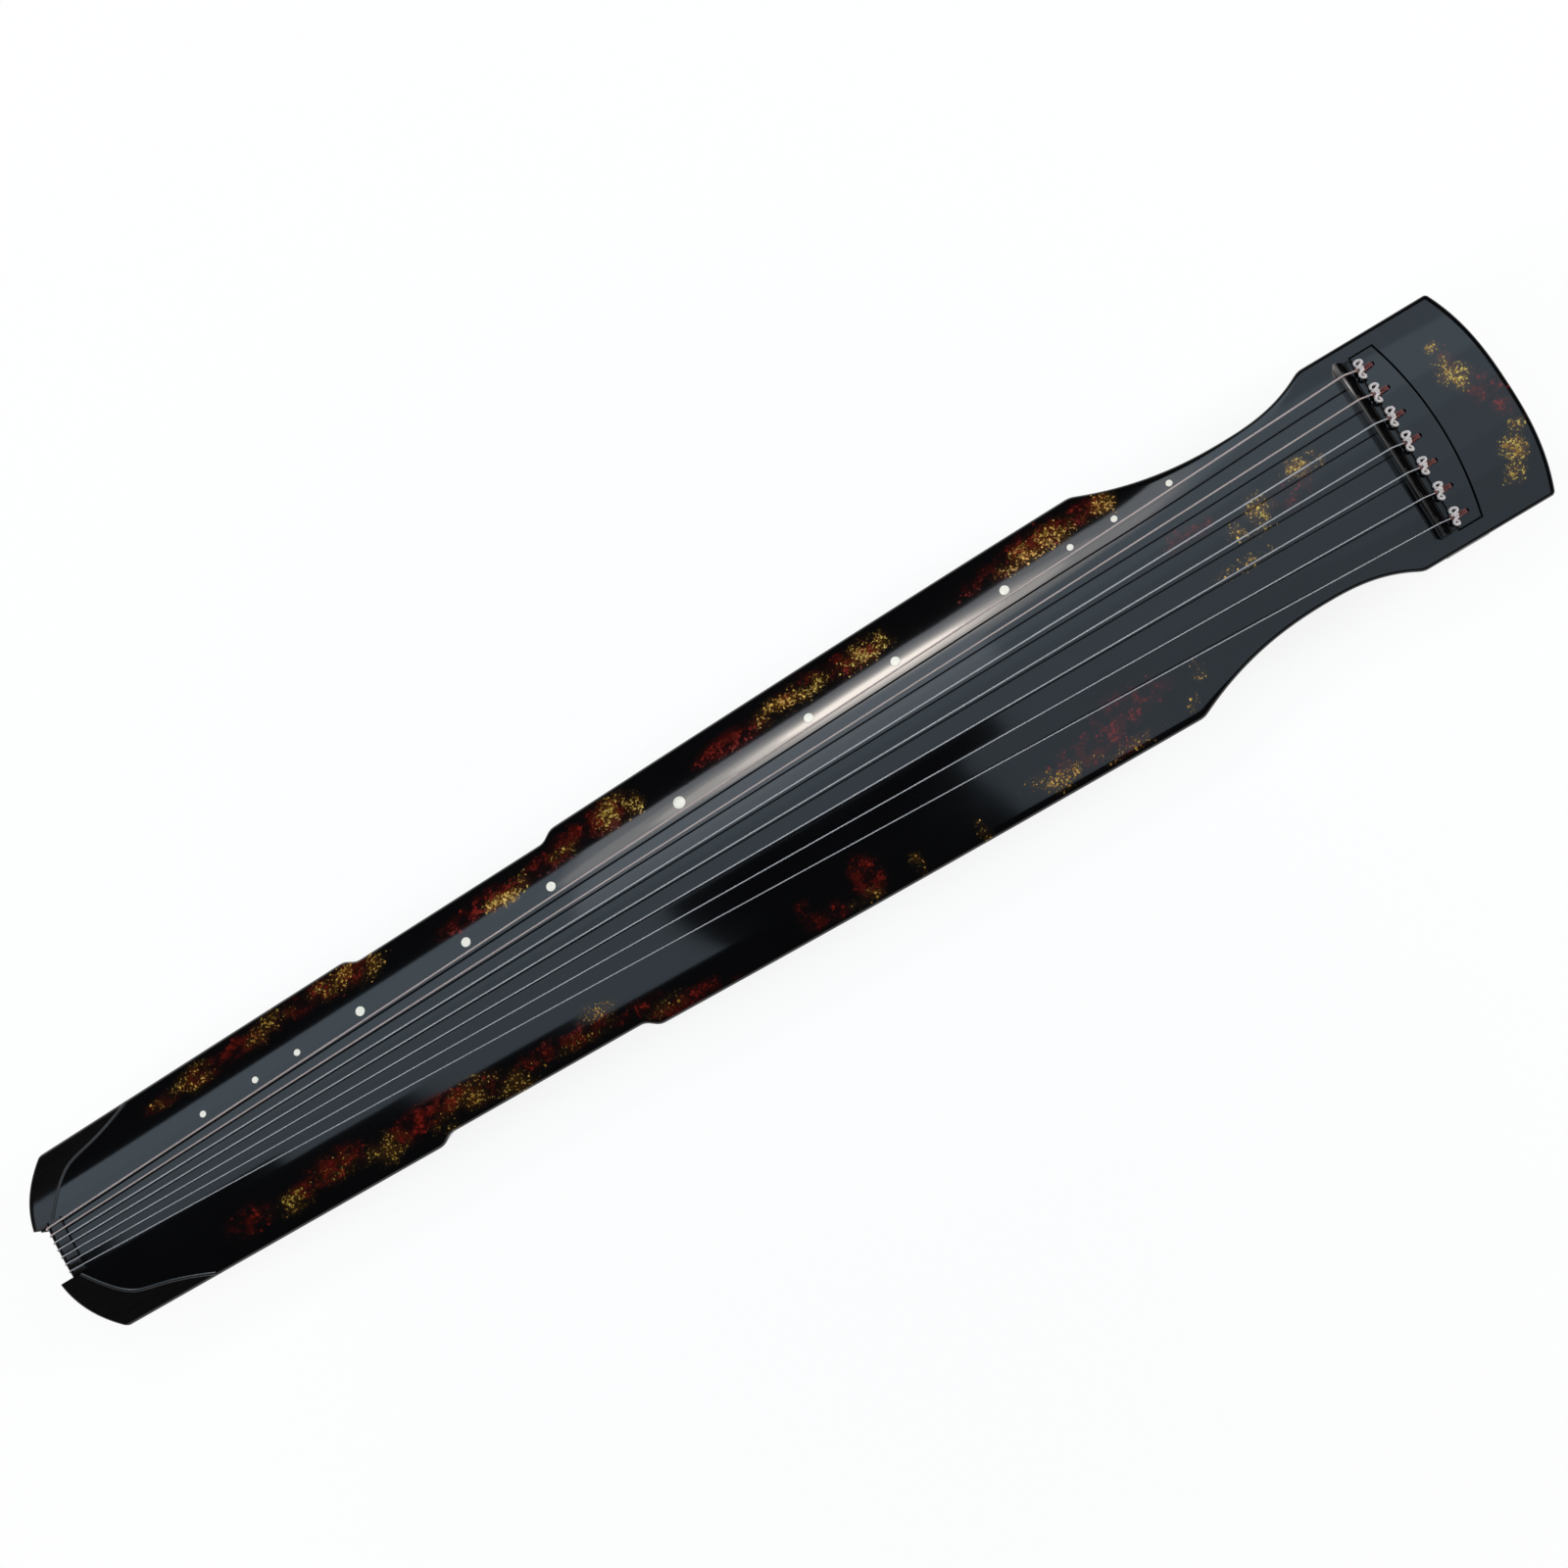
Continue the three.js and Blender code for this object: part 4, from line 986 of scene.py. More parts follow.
def lofted(name, rings, *materials):
    """A closed bar over rings that hold as many points each."""
    places = places_of(rings)
    faces = [tuple(reversed(places[0])), tuple(places[-1])]
    for low, high in zip(places, places[1:]):
        faces += band_faces(low, high)
    points = [point for ring in rings for point in ring]
    return turned_outwards(new_piece(name, points, faces, *materials))


def hardwood_finish(name, dark, light, along, low_gloss, high_gloss, highlight_colour=(0.6, 0.52, 0.48)):
    """Oiled and polished hardwood with its grain along one axis, painted paler where a highlight is
    painted on.
    """
    finish = Finish(name)
    grain = finish.noise(7, 6, finish.stretched(along), 0.62)
    pores = finish.noise(60, 2, finish.stretched(along), 0.5)
    tone = finish.blend(finish.between(grain, -0.3, 1.3), colour(*dark), colour(*light))
    # Painted highlight: paler colour wherever the piece carries a painted highlight
    tone = finish.blend(finish.attribute("wear"), tone, colour(*highlight_colour))
    finish.bump(pores, 0.012 * mm, 0.4)
    roughness = finish.between(grain, low_gloss, high_gloss)
    return finish.give(Base_Color=tone, Roughness=roughness, Specular_IOR_Level=0.42)


across_grain = (60, 6, 60)
long_grain = (6, 60, 60)
upright_grain = (60, 60, 8)
ebony_dark, ebony_light = (0.003, 0.0027, 0.0027), (0.008, 0.0065, 0.006)
bar_dark, bar_light = (0.0014, 0.0014, 0.0015), (0.0036, 0.0031, 0.003)
bridge_wood = hardwood_finish("dark_hardwood_bar", bar_dark, bar_light, across_grain, 0.08, 0.12)
bridge_places = [bridge_y(number) for number in string_numbers]


def groove(y, places):
    """How deep the nearest string's groove is at a place along a bar."""
    return groove_depth * max(math.exp(-((y - place) / groove_half) ** 2) for place in places)


def bridge_top(y):
    return float(face_height(bridge_x, y)) + bridge_height


def bridge_ring(y):
    end = max(0, abs(y) - (bridge_high.y - bridge_end_round)) / bridge_end_round
    drop = bridge_end_drop * (1 - math.sqrt(max(0, 1 - end * end)))
    top = bridge_top(y) + bridge_lift - groove(y, bridge_places) - drop
    ledge = float(face_height(bridge_high.x, y)) + bridge_ledge - drop
    section = [
        (bridge_low.x, bridge_low.z),
        (bridge_high.x, bridge_low.z),
        (bridge_high.x, ledge),
        (bridge_low.x + bridge_foot, ledge),
        (bridge_low.x + bridge_top_width, top),
        (bridge_low.x, top),
    ]
    return [(x, y, z) for x, z in softened(section, bridge_edge)]


bridge = lofted(
    "hardwood_bridge",
    [bridge_ring(y) for y in np.linspace(bridge_low.y, bridge_high.y, bridge_steps)],
    bridge_wood,
)


def edge_highlight(x, y, z):
    """How strongly the painted highlight lies on the bridge: most at its front edge, near the two
    thickest strings.
    """
    away = math.hypot(x - bridge_x, z - bridge_top(y) - bridge_lift)
    spot = math.exp(-(share_of(y, bridge_y(2), bridge_y(1)) - highlight_middle) ** 2 / highlight_spread)
    rest = mix(highlight_near, highlight_far, share_of(y, bridge_low.y, bridge_high.y))
    return math.exp(-(away / highlight_reach) ** 2) * max(spot, rest)


# Painted highlight along the bridge's front edge, for its finish to paint paler
wear = bridge.data.attributes.new("wear", "FLOAT", "POINT")
wear.data.foreach_set("value", [edge_highlight(*vertex.co) for vertex in bridge.data.vertices])
smooth(bridge)
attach(bridge, "root")
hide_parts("bridge")


# String-hole plate: a thin hardwood plate let in flush behind the bridge and lacquered with
# the face. Its head side is an arc, with a fine groove left round it, and it has one hole for
# each tuning cord.
cord_mouth_radius = 2.1 * mm
plate = face_stock("flush_plate", lacquer)
carve(plate, prism(plate_outline(-plate_groove), plate_low.z, above_face), how="INTERSECT")
carve(plate, *[
    rod(cord_hole_x, bridge_y(number), plate_low.z - overrun, above_face, cord_mouth_radius)
    for number in string_numbers
])
polish(plate)
dust(plate)
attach(plate, "root")
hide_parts("string_hole_plate")


# Dragon gum: the hardwood nut at the notch of the tail. The strings cross its rounded edge,
# turn down the tail and pass under the lower gum, which is let in below it.
nut_span, nut_middle = 36 * mm, 0.5 * mm
nut_round = 4 * mm
nut_round_steps = 8
nut_lift = 0.5 * mm
nut_top_height = 1.8 * mm
nut_steps = 120
gum_wood = hardwood_finish("dark_hardwood_gum", ebony_dark, ebony_light, across_grain, 0.08, 0.11)


def nut_y(number):
    return nut_middle + nut_span * (0.5 - (number - 1) / 6)


nut_places = [nut_y(number) for number in string_numbers]


def gum_top(y):
    return float(face_height(nut_x, y)) + nut_top_height


def gum_ring(y):
    top = gum_top(y) + nut_lift - groove(y, nut_places)
    section = [(gum_low.x, gum_low.z), (gum_low.x, top), (gum_high.x, top)]
    section = [*softened(section, nut_round, nut_round_steps, closed=False), (gum_high.x, gum_low.z)]
    return [(x, y, z) for x, z in section]


gum = lofted(
    "hardwood_gum",
    [gum_ring(y) for y in np.linspace(gum_low.y, gum_high.y, nut_steps)],
    gum_wood,
)
smooth(gum)
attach(gum, "root")
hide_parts("dragon_gum")


def lower_gum_ring(y):
    low, high = lower_gum_low, lower_gum_high
    bottom_side = low.z + groove(y, nut_places)
    section = [(low.x, high.z), (low.x, bottom_side), (high.x, bottom_side), (high.x, high.z)]
    return [(x, y, z) for x, z in softened(section, nut_round, nut_round_steps)]


lower_gum = lofted(
    "hardwood_lower_gum",
    [lower_gum_ring(y) for y in np.linspace(lower_gum_low.y, lower_gum_high.y, nut_steps)],
    gum_wood,
)
smooth(lower_gum)
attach(lower_gum, "root")
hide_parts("lower_gum")


# Tail horns: a hardwood plate at each corner of the tail, polished flush with the lacquer.
# A low raised bead of dark horn follows the long scroll that bounds it.
bead_radius = 1.7 * mm
bead_sink = 0.95 * mm
bead_sides = 12
horn_light = (0.006, 0.0052, 0.005)
horn_wood = hardwood_finish("dark_hardwood_horn", ebony_dark, horn_light, long_grain, 0.08, 0.12)


def geometry_tree(name, inputs):
    """A geometry tree with named inputs, and its two end nodes."""
    tree = bpy.data.node_groups.new(name, "GeometryNodeTree")
    tree.interface.new_socket("Geometry", in_out="INPUT", socket_type="NodeSocketGeometry")
    for label, kind in inputs.items():
        tree.interface.new_socket(label, in_out="INPUT", socket_type=f"NodeSocket{kind}")
    tree.interface.new_socket("Geometry", in_out="OUTPUT", socket_type="NodeSocketGeometry")
    return tree, tree.nodes.new("NodeGroupInput"), tree.nodes.new("NodeGroupOutput")


def finish_tree(tree, source, sink, geometry):
    """Ends a tree in plain, smooth geometry with its material."""
    real = put(tree, "GeometryNodeRealizeInstances", None, {"Geometry": geometry})
    shaded = put(tree, "GeometryNodeSetShadeSmooth", None, {"Geometry": real.outputs[0]})
    sockets = {"Geometry": shaded.outputs[0], "Material": source.outputs["Material"]}
    painted = put(tree, "GeometryNodeSetMaterial", None, sockets)
    plug_in(sink.inputs[0], painted.outputs[0])
    return tree


def grown(piece, tree, **inputs):
    """The piece that a tree grows from a few points, as a plain mesh."""
    step = piece.modifiers.new(tree.name, "NODES")
    step.node_group = tree
    for item in tree.interface.items_tree:
        if item.in_out == "INPUT" and item.name in inputs:
            step[item.identifier] = inputs[item.name]
    return settled(piece)


def wire_tree():
    """A round wire along a line, with its own length written along it."""
    inputs = {"Radius": "Float", "Sides": "Int", "Material": "Material"}
    tree, source, sink = geometry_tree("wire", inputs)
    line = put(tree, "GeometryNodeMeshToCurve", None, {"Mesh": source.outputs["Geometry"]})
    length = put(tree, "GeometryNodeSplineParameter")
    sockets = {"Geometry": line.outputs[0], "Name": "along", "Value": length.outputs["Length"]}
    marked = put(tree, "GeometryNodeStoreNamedAttribute", {"data_type": "FLOAT"}, sockets)
    sockets = {"Resolution": source.outputs["Sides"], "Radius": source.outputs["Radius"]}
    section = put(tree, "GeometryNodeCurvePrimitiveCircle", None, sockets)
    sockets = {"Curve": marked.outputs[0], "Profile Curve": section.outputs[0], "Fill Caps": True}
    swept = put(tree, "GeometryNodeCurveToMesh", None, sockets)
    return finish_tree(tree, source, sink, swept.outputs[0])


def line_piece(name, *lines):
    """Bare lines of points, for a tree to grow a piece from."""
    points, edges = [], []
    for line in lines:
        start = len(points)
        points += [tuple(point) for point in line]
        edges += [(k, k + 1) for k in range(start, len(points) - 1)]
    mesh = bpy.data.meshes.new(name)
    mesh.from_pydata(points, edges, [])
    piece = bpy.data.objects.new(name, mesh)
    scene.collection.objects.link(piece)
    return piece


wire = wire_tree()


def joined(piece, *others):
    """One piece of several, each with its own materials and finish."""
    with bpy.context.temp_override(active_object=piece, selected_editable_objects=[piece, *others]):
        bpy.ops.object.join()
    return piece


bead_black, bead_grey = (0.007, 0.0072, 0.008), (0.016, 0.016, 0.017)


def bead_finish():
    """Dark horn, polished."""
    finish = Finish("dark_horn")
    cloud = finish.noise(120, 3)
    tone = finish.blend(cloud, colour(*bead_black), colour(*bead_grey))
    return finish.give(Base_Color=tone, Roughness=finish.between(cloud, 0.12, 0.2))


bead_horn = bead_finish()
for side, way in (("far", 1), ("near", -1)):
    horn = face_stock(f"polished_horn_{side}", horn_wood)
    carve(horn, prism(horn_outline(way, 0), horn_z, above_face), how="INTERSECT")
    for polygon in horn.data.polygons:
        polygon.material_index = 0
    paint(horn, dull_black, in_notch)
    polish(horn)
    scroll = []
    for share in np.linspace(0, 1, 2 * scroll_steps):
        x, y = scroll_point(share, way)
        if abs(y) < soft_half(x) - edge_round / 2:
            scroll.append((x, y, float(face_height(x, y)) - bead_sink))
    bead = line_piece("bead", scroll)
    joined(horn, grown(bead, wire, Radius=bead_radius, Sides=bead_sides, Material=bead_horn))
    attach(horn, "root")
    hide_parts(f"tail_horn_{side}")


# Studs: thirteen discs of mother-of-pearl let into the face along the thickest string. They
# mark simple fractions of its length, and are ground a little proud of the lacquer.
stud_proud = 0.22 * mm
stud_sides = 56


def turned(name, profile, sides, *materials):
    """A piece turned about the upright axis, from one end of its profile to the other."""
    points, rings = [], []
    for radius, height in profile:
        start = len(points)
        around = 1 if radius == 0 else sides
        for side in range(around):
            angle = 2 * math.pi * side / sides
            points.append((radius * math.cos(angle), radius * math.sin(angle), height))
        rings.append(list(range(start, len(points))) * (sides if radius == 0 else 1))
    faces = []
    for low, high in zip(rings, rings[1:]):
        for face in band_faces(low, high):
            corners = list(dict.fromkeys(face))
            if len(corners) > 2:
                faces.append(tuple(corners))
    return turned_outwards(new_piece(name, points, faces, *materials))


shell_cream, shell_white = (0.74, 0.68, 0.58), (0.8, 0.76, 0.68)
shell_green, shell_pink = (0.62, 0.7, 0.6), (0.8, 0.64, 0.6)


def pearl_finish():
    """Mother-of-pearl: white shell with soft bands of pink and green."""
    finish = Finish("mother_of_pearl")
    bands = finish.noise(160, 5, None, 0.6)
    drift = finish.noise(420, 3, finish.stretched((1, 0.4, 1)), 0.5)
    tone = finish.blend(bands, colour(*shell_cream), colour(*shell_white))
    tone = finish.blend(finish.between(drift, -0.6, 0.9), tone, colour(*shell_green))
    tone = finish.blend(finish.between(bands, -0.9, 0.5), tone, colour(*shell_pink))
    finish.bump(bands, 0.04 * mm, 0.5)
    return finish.give(Base_Color=tone, Roughness=finish.between(drift, 0.2, 0.34))


def stud_tree():
    """A disc on every point, as wide as its radius says and turned the way it faces."""
    tree, source, sink = geometry_tree("studs", {"Blank": "Object", "Material": "Material"})
    blank = put(tree, "GeometryNodeObjectInfo", None, {"Object": source.outputs["Blank"]})
    settings = {"data_type": "FLOAT"}
    radius = put(tree, "GeometryNodeInputNamedAttribute", settings, {"Name": "radius"})
    settings = {"data_type": "FLOAT_VECTOR"}
    facing = put(tree, "GeometryNodeInputNamedAttribute", settings, {"Name": "facing"})
    sockets = {"Vector": facing.outputs["Attribute"]}
    turn = put(tree, "FunctionNodeAlignRotationToVector", {"axis": "Z"}, sockets)
    wide = radius.outputs["Attribute"]
    size = put(tree, "ShaderNodeCombineXYZ", None, {"X": wide, "Y": wide, "Z": 1})
    sockets = {"Points": source.outputs["Geometry"], "Instance": blank.outputs["Geometry"]}
    sockets.update({"Rotation": turn.outputs[0], "Scale": size.outputs[0]})
    placed = put(tree, "GeometryNodeInstanceOnPoints", None, sockets)
    return finish_tree(tree, source, sink, placed.outputs[0])


pearl = pearl_finish()
stud_dome = 0.08 * mm

# Shares of a stud's radius, and heights from the face
stud_profile = [(0, -stud_depth), (1, -stud_depth), (1, stud_proud - stud_dome), (0.97, stud_proud)]
stud_profile += [(0.5, stud_proud + stud_dome), (0, stud_proud + stud_dome)]
stud_blank = turned("stud_blank", stud_profile, stud_sides)
stud_places = [stud_place(number) for number in range(len(stud_shares))]
studs = line_piece("pearl_studs", *[[place] for place, _ in stud_places])
radii = studs.data.attributes.new("radius", "FLOAT", "POINT")
radii.data.foreach_set("value", [radius * mm for radius in stud_radii])
facings = studs.data.attributes.new("facing", "FLOAT_VECTOR", "POINT")
facings.data.foreach_set("vector", [axis for _, normal in stud_places for axis in normal])
grown(studs, stud_tree(), Blank=stud_blank, Material=pearl)
bpy.data.objects.remove(stud_blank)
smooth(studs)
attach(studs, "root")
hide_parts(*[f"hui_{number}" for number in range(1, len(stud_shares) + 1)])


# Peg pool plate: a hardwood plate at the bottom of the recess under the head, which the peg
# heads bear on.
pool_wood = hardwood_finish("dark_hardwood_plate", ebony_dark, ebony_light, across_grain, 0.3, 0.42)
pool_plate = finished("peg_pool_plate", pool_wood)


# Tuning pegs: seven rosewood pegs under the head, turned on a lathe and bored from the top
# down to a side hole. The tuning cord comes out there and is wound round the peg's neck.
peg_sides = 56
peg_bore = 1.9 * mm
peg_bore_depth = 26 * mm
bore_chamfer = 0.4 * mm
side_hole = 1.4 * mm
side_hole_rise = 0.3 * mm
side_hole_length = 8 * mm
turned_angle = math.radians(28)
rosewood_dark, rosewood_light = (0.02, 0.007, 0.004), (0.075, 0.026, 0.014)
peg_wood = hardwood_finish("peg_hardwood", rosewood_dark, rosewood_light, upright_grain, 0.2, 0.34)
peg_low, peg_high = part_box("tuning_peg_1")
peg_length = peg_high.z - peg_low.z
# Radius in millimetres, and how far down the peg it lies as a share of the peg's length
peg_outline = [
    (0, 1), (2.2, 1), (2.9, 0.975), (2.6, 0.95), (2.2, 0.94), (3.1, 0.925), (3.6, 0.9), (4.25, 0.8),
    (4.9, 0.69), (5.15, 0.63), (5, 0.622), (5.2, 0.614), (5.4, 0.55), (5.2, 0.486), (5, 0.478),
    (5.15, 0.47), (4.9, 0.4), (4.4, 0.3), (4, 0.22), (4.2, 0.19), (5.2, 0.16), (5.9, 0.135),
    (6, 0.12), (5.75, 0.1), (6, 0.08), (6, 0.02), (5.7, 0),
]
peg_profile = [(radius * mm, peg_high.z - peg_length * share) for radius, share in peg_outline]
peg_profile += [(peg_bore + bore_chamfer, peg_high.z), (peg_bore, peg_high.z - bore_chamfer)]
peg_profile += [(peg_bore, peg_high.z - peg_bore_depth), (0, peg_high.z - peg_bore_depth)]
side_hole_z = peg_high.z - peg_bore_depth + side_hole + side_hole_rise


def lying_rod(length, radius, height, sides=24):
    """A rod from the upright axis out along X."""
    made = rod(0, 0, 0, length, radius, sides)
    turn = Matrix.Translation((0, 0, height)) @ Matrix.Rotation(math.pi / 2, 4, "Y")
    made.data.transform(turn)
    return made


def peg_piece(number):
    peg = turned(f"turned_peg_{number}", peg_profile, peg_sides, peg_wood)
    carve(peg, lying_rod(side_hole_length, side_hole, side_hole_z))
    peg.data.transform(Matrix.Translation((cord_hole_x, bridge_y(number), 0)))
    return smooth(peg, turned_angle)


# Tuning cords: red silk, doubled and twisted. Each is looped round the foot of a knot, goes
# down through the head into the hollow of its peg, and comes out to be wound round its neck.
silk_strand = 0.5 * mm
silk_lay = 0.42 * mm
silk_turn = 5.5 * mm
strand_sides = 8
strand_step = 0.9
cord_half = silk_strand + silk_lay
wrap_turns = 3.5
wrap_pitch = 1.9 * mm
wrap_top_share = 0.2
wrap_steps = 20
wrap_hug = 0.95
wrap_reach = 4 * mm
wrap_rise_steps = 5


def cord_finish(name, dark, light, step):
    """Twisted yarn: fine fibres along each strand, darker in soft random clouds."""
    finish = Finish(name)
    fibre = finish.noise(900, 4, None, 0.6)
    cloud = finish.noise(70, 2)
    tone = finish.blend(fibre, colour(*dark), colour(*light))
    tone = finish.blend(cloud * 0.4, tone, colour(*dark))
    finish.bump(fibre, step, 0.7)
    roughness = finish.between(fibre, 0.6, 0.85)
    return finish.give(Base_Color=tone, Roughness=roughness, Sheen_Weight=0.3)


def laid_cord_tree():
    """Strands laid round a line in a steady twist."""
    inputs = {"Strand Radius": "Float", "Lay Radius": "Float", "Turn Length": "Float"}
    inputs.update({"Strands": "Int", "Step": "Float", "Material": "Material"})
    tree, source, sink = geometry_tree("laid cord", inputs)
    given = source.outputs
    line = put(tree, "GeometryNodeMeshToCurve", None, {"Mesh": given["Geometry"]})
    sockets = {"Curve": line.outputs[0], "Length": given["Step"]}
    even = put(tree, "GeometryNodeResampleCurve", {"mode": "LENGTH"}, sockets)
    sockets = {"Geometry": even.outputs[0], "Amount": given["Strands"]}
    copies = put(tree, "GeometryNodeDuplicateElements", {"domain": "SPLINE"}, sockets)
    length = put(tree, "GeometryNodeSplineParameter").outputs["Length"]
    turns = Shade(length).maths("DIVIDE", length, given["Turn Length"])
    phase = Shade(length).maths("DIVIDE", copies.outputs["Duplicate Index"], given["Strands"])
    angle = (turns + phase) * (2 * math.pi)
    out = angle.maths("COSINE", angle, 0) * given["Lay Radius"]
    over = angle.maths("SINE", angle, 0) * given["Lay Radius"]
    normal = put(tree, "GeometryNodeInputNormal").outputs[0]
    tangent = put(tree, "GeometryNodeInputTangent").outputs[0]
    side = put(tree, "ShaderNodeVectorMath", {"operation": "CROSS_PRODUCT"}, {0: tangent, 1: normal})
    scaled = {"operation": "SCALE"}
    first = put(tree, "ShaderNodeVectorMath", scaled, {0: normal, "Scale": out})
    second = put(tree, "ShaderNodeVectorMath", scaled, {0: side.outputs[0], "Scale": over})
    offset = put(tree, "ShaderNodeVectorMath", None, {0: first.outputs[0], 1: second.outputs[0]})
    sockets = {"Geometry": copies.outputs[0], "Offset": offset.outputs[0]}
    laid = put(tree, "GeometryNodeSetPosition", None, sockets)
    sockets = {"Resolution": strand_sides, "Radius": given["Strand Radius"]}
    section = put(tree, "GeometryNodeCurvePrimitiveCircle", None, sockets)
    sockets = {"Curve": laid.outputs[0], "Profile Curve": section.outputs[0], "Fill Caps": True}
    swept = put(tree, "GeometryNodeCurveToMesh", None, sockets)
    return finish_tree(tree, source, sink, swept.outputs[0])


laid_cord = laid_cord_tree()
red_dark, red_light = (0.08, 0.013, 0.011), (0.22, 0.055, 0.043)
red_silk = cord_finish("red_silk_cord", red_dark, red_light, 0.12 * mm)


def flowing(points, steps=6):
    """A smooth line through every one of a few points."""
    places = [2 * Vector(points[0]) - Vector(points[1]), *map(Vector, points)]
    places.append(2 * Vector(points[-1]) - Vector(points[-2]))
    line = []
    for a, b, c, d in zip(places, places[1:], places[2:], places[3:]):
        for step in range(steps):
            t = step / steps
            line.append(0.5 * (2 * b + (c - a) * t + (2 * a - 5 * b + 4 * c - d) * t ** 2
                               + (3 * b - a - 3 * c + d) * t ** 3))
    return [*line, Vector(points[-1])]


def twisted(name, line, strand, lay, turn, material):
    """A three-strand cord along a line."""
    given = {"Strand Radius": strand, "Lay Radius": lay, "Turn Length": turn}
    given["Step"] = strand * strand_step
    return grown(line_piece(name, line), laid_cord, Strands=3, Material=material, **given)


def silk(name, line):
    """A length of the red silk that the tuning cords are made of."""
    return twisted(name, line, silk_strand, silk_lay, silk_turn, red_silk)


def wrap_line(y):
    """The end of a cord: out of the side hole, up the peg and round its neck."""
    outline = [(peg_high.z - peg_length * share, radius * mm) for radius, share in peg_outline[::-1]]
    heights, radii = zip(*sorted(outline))
    line = [(cord_hole_x, y, side_hole_z), (cord_hole_x + wrap_reach, y, side_hole_z)]
    top = peg_high.z - peg_length * wrap_top_share
    low = top - wrap_turns * wrap_pitch
    start = side_hole_z + 2 * cord_half
    count = int(wrap_turns * wrap_steps)
    rise = [(0, height) for height in np.linspace(start, low, wrap_rise_steps)[:-1]]
    coil = [(2 * math.pi * step / wrap_steps, mix(low, top, step / count)) for step in range(count + 1)]
    for angle, height in rise + coil:
        reach = np.interp(height, heights, radii) + cord_half * wrap_hug
        line.append((cord_hole_x + reach * math.cos(angle), y + reach * math.sin(angle), height))
    return flowing(line, 2)


for number in string_numbers:
    peg = peg_piece(number)
    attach(peg, f"peg_{number}")
    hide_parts(f"tuning_peg_{number}")
    wrap = silk(f"cord_wrap_{number}", wrap_line(bridge_y(number)))
    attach(wrap, f"peg_{number}")

# Each knot stands behind the bridge, tilted so that its string runs straight up to the top
knot_x = bridge_x + 16.4 * mm
knot_lift = 3.2 * mm
knot_tilt = math.radians(20)
cord_in_peg = 20 * mm
leg_half = 0.95 * mm
mouth_sink = 0.6 * mm
knot_spread = 3.6 * mm

# A cord's loop in the axes of its knot, in millimetres: one side of it, from the plate to the
# string, and its top over the string
loop_side = [
    (5.6, 1.0, -1.3), (2.4, 1.7, -1.95), (-0.6, 1.9, -1.95), (-2.8, 1.75, -1.2), (-3.7, 1.2, 0.6),
]
loop_top = (-3.9, 0, 1.75)


def knot_frame(number):
    """From a knot's own axes, with the string along -X, to the place where it stands."""
    y = bridge_y(number)
    rise = float(face_height(knot_x, y + knot_spread) - face_height(knot_x, y - knot_spread))
    height = float(face_height(bridge_high.x, y)) + bridge_ledge + knot_lift
    lean = Matrix.Rotation(math.atan2(rise, 2 * knot_spread), 4, "X")
    return Matrix.Translation((knot_x, y, height)) @ Matrix.Rotation(knot_tilt, 4, "Y") @ lean


def cord_line(number):
    """Down from the loop round the string to the hollow of the peg, on both sides."""
    y = bridge_y(number)
    stand = knot_frame(number)
    mouth = float(face_height(cord_hole_x, y)) - mouth_sink
    far = [stand @ (Vector(point) * mm) for point in loop_side]
    near = [stand @ (Vector((x, -across, z)) * mm) for x, across, z in loop_side]
    over = stand @ (Vector(loop_top) * mm)
    down = [(cord_hole_x, peg_high.z - cord_in_peg), (cord_hole_x, peg_high.z), (cord_hole_x, mouth)]
    far_leg = [Vector((x, y + leg_half, z)) for x, z in down]
    near_leg = [Vector((x, y - leg_half, z)) for x, z in down]
    return flowing([*far_leg, *far, over, *near[::-1], *near_leg[::-1]])


for number in string_numbers:
    cord = silk(f"silk_cord_{number}", cord_line(number))
    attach(cord, "root")
    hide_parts(f"tuning_cord_{number}")


# Fly-head knots: each string ends in a small knot of white cord, three small eyes in a row
# with a binding round the middle one, which the tuning cord pulls on.
knot_strand = 0.64 * mm
knot_lay = 0.55 * mm
knot_turn = 5 * mm
thick_knots = 4
thick_knot_half = 7 * mm
thin_knot_half = 6 * mm
knot_evening = 0.125
knot_bow = 0.8 * mm
eye_half = 2.6 * mm
eyes_start = 0.4
knot_turned = math.radians(-16)
knot_steps = 96
binding_turns = 3.25
binding_steps = 16
binding_radius = 2 * mm
binding_length = 3.4 * mm
binding_strand = 0.3 * mm
binding_lay = 0.26 * mm
binding_turn = 3 * mm
white_dark, white_light = (0.46, 0.4, 0.38), (0.76, 0.71, 0.69)
white_cord = cord_finish("white_cord", white_dark, white_light, 0.1 * mm)


def eyes_line(stand, half):
    """A line that passes over and under itself between three eyes of one size."""
    line = []
    for step in range(knot_steps + 1):
        turn = 2 * math.pi * step / knot_steps + eyes_start
        across = (math.cos(turn) + knot_evening * math.cos(3 * turn)) / (1 + knot_evening)
        along = eye_half * math.sin(3 * turn) - knot_bow * (1 - across * across)
        rise = (knot_strand + knot_lay) * math.sin(2 * turn)
        place = Vector((along, half * across, rise))
        line.append(stand @ Matrix.Rotation(knot_turned, 4, "Z") @ place)
    return line


def binding_line(stand):
    """A few turns round the middle of a knot, about the line of its string."""
    count = int(binding_turns * binding_steps)
    line = []
    for step in range(count + 1):
        angle = 2 * math.pi * step / binding_steps
        along = mix(-binding_length / 2, binding_length / 2, step / count)
        place = Vector((along, binding_radius * math.cos(angle), binding_radius * math.sin(angle)))
        line.append(stand @ place)
    return line


for number in string_numbers:
    stand = knot_frame(number)
    eyes = eyes_line(stand, thick_knot_half if number <= thick_knots else thin_knot_half)
    knot = twisted(f"eye_knot_{number}", eyes, knot_strand, knot_lay, knot_turn, white_cord)
    turns = binding_line(stand)
    joined(knot, twisted("binding", turns, binding_strand, binding_lay, binding_turn, white_cord))
    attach(knot, "root")
    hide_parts(f"fly_head_knot_{number}")


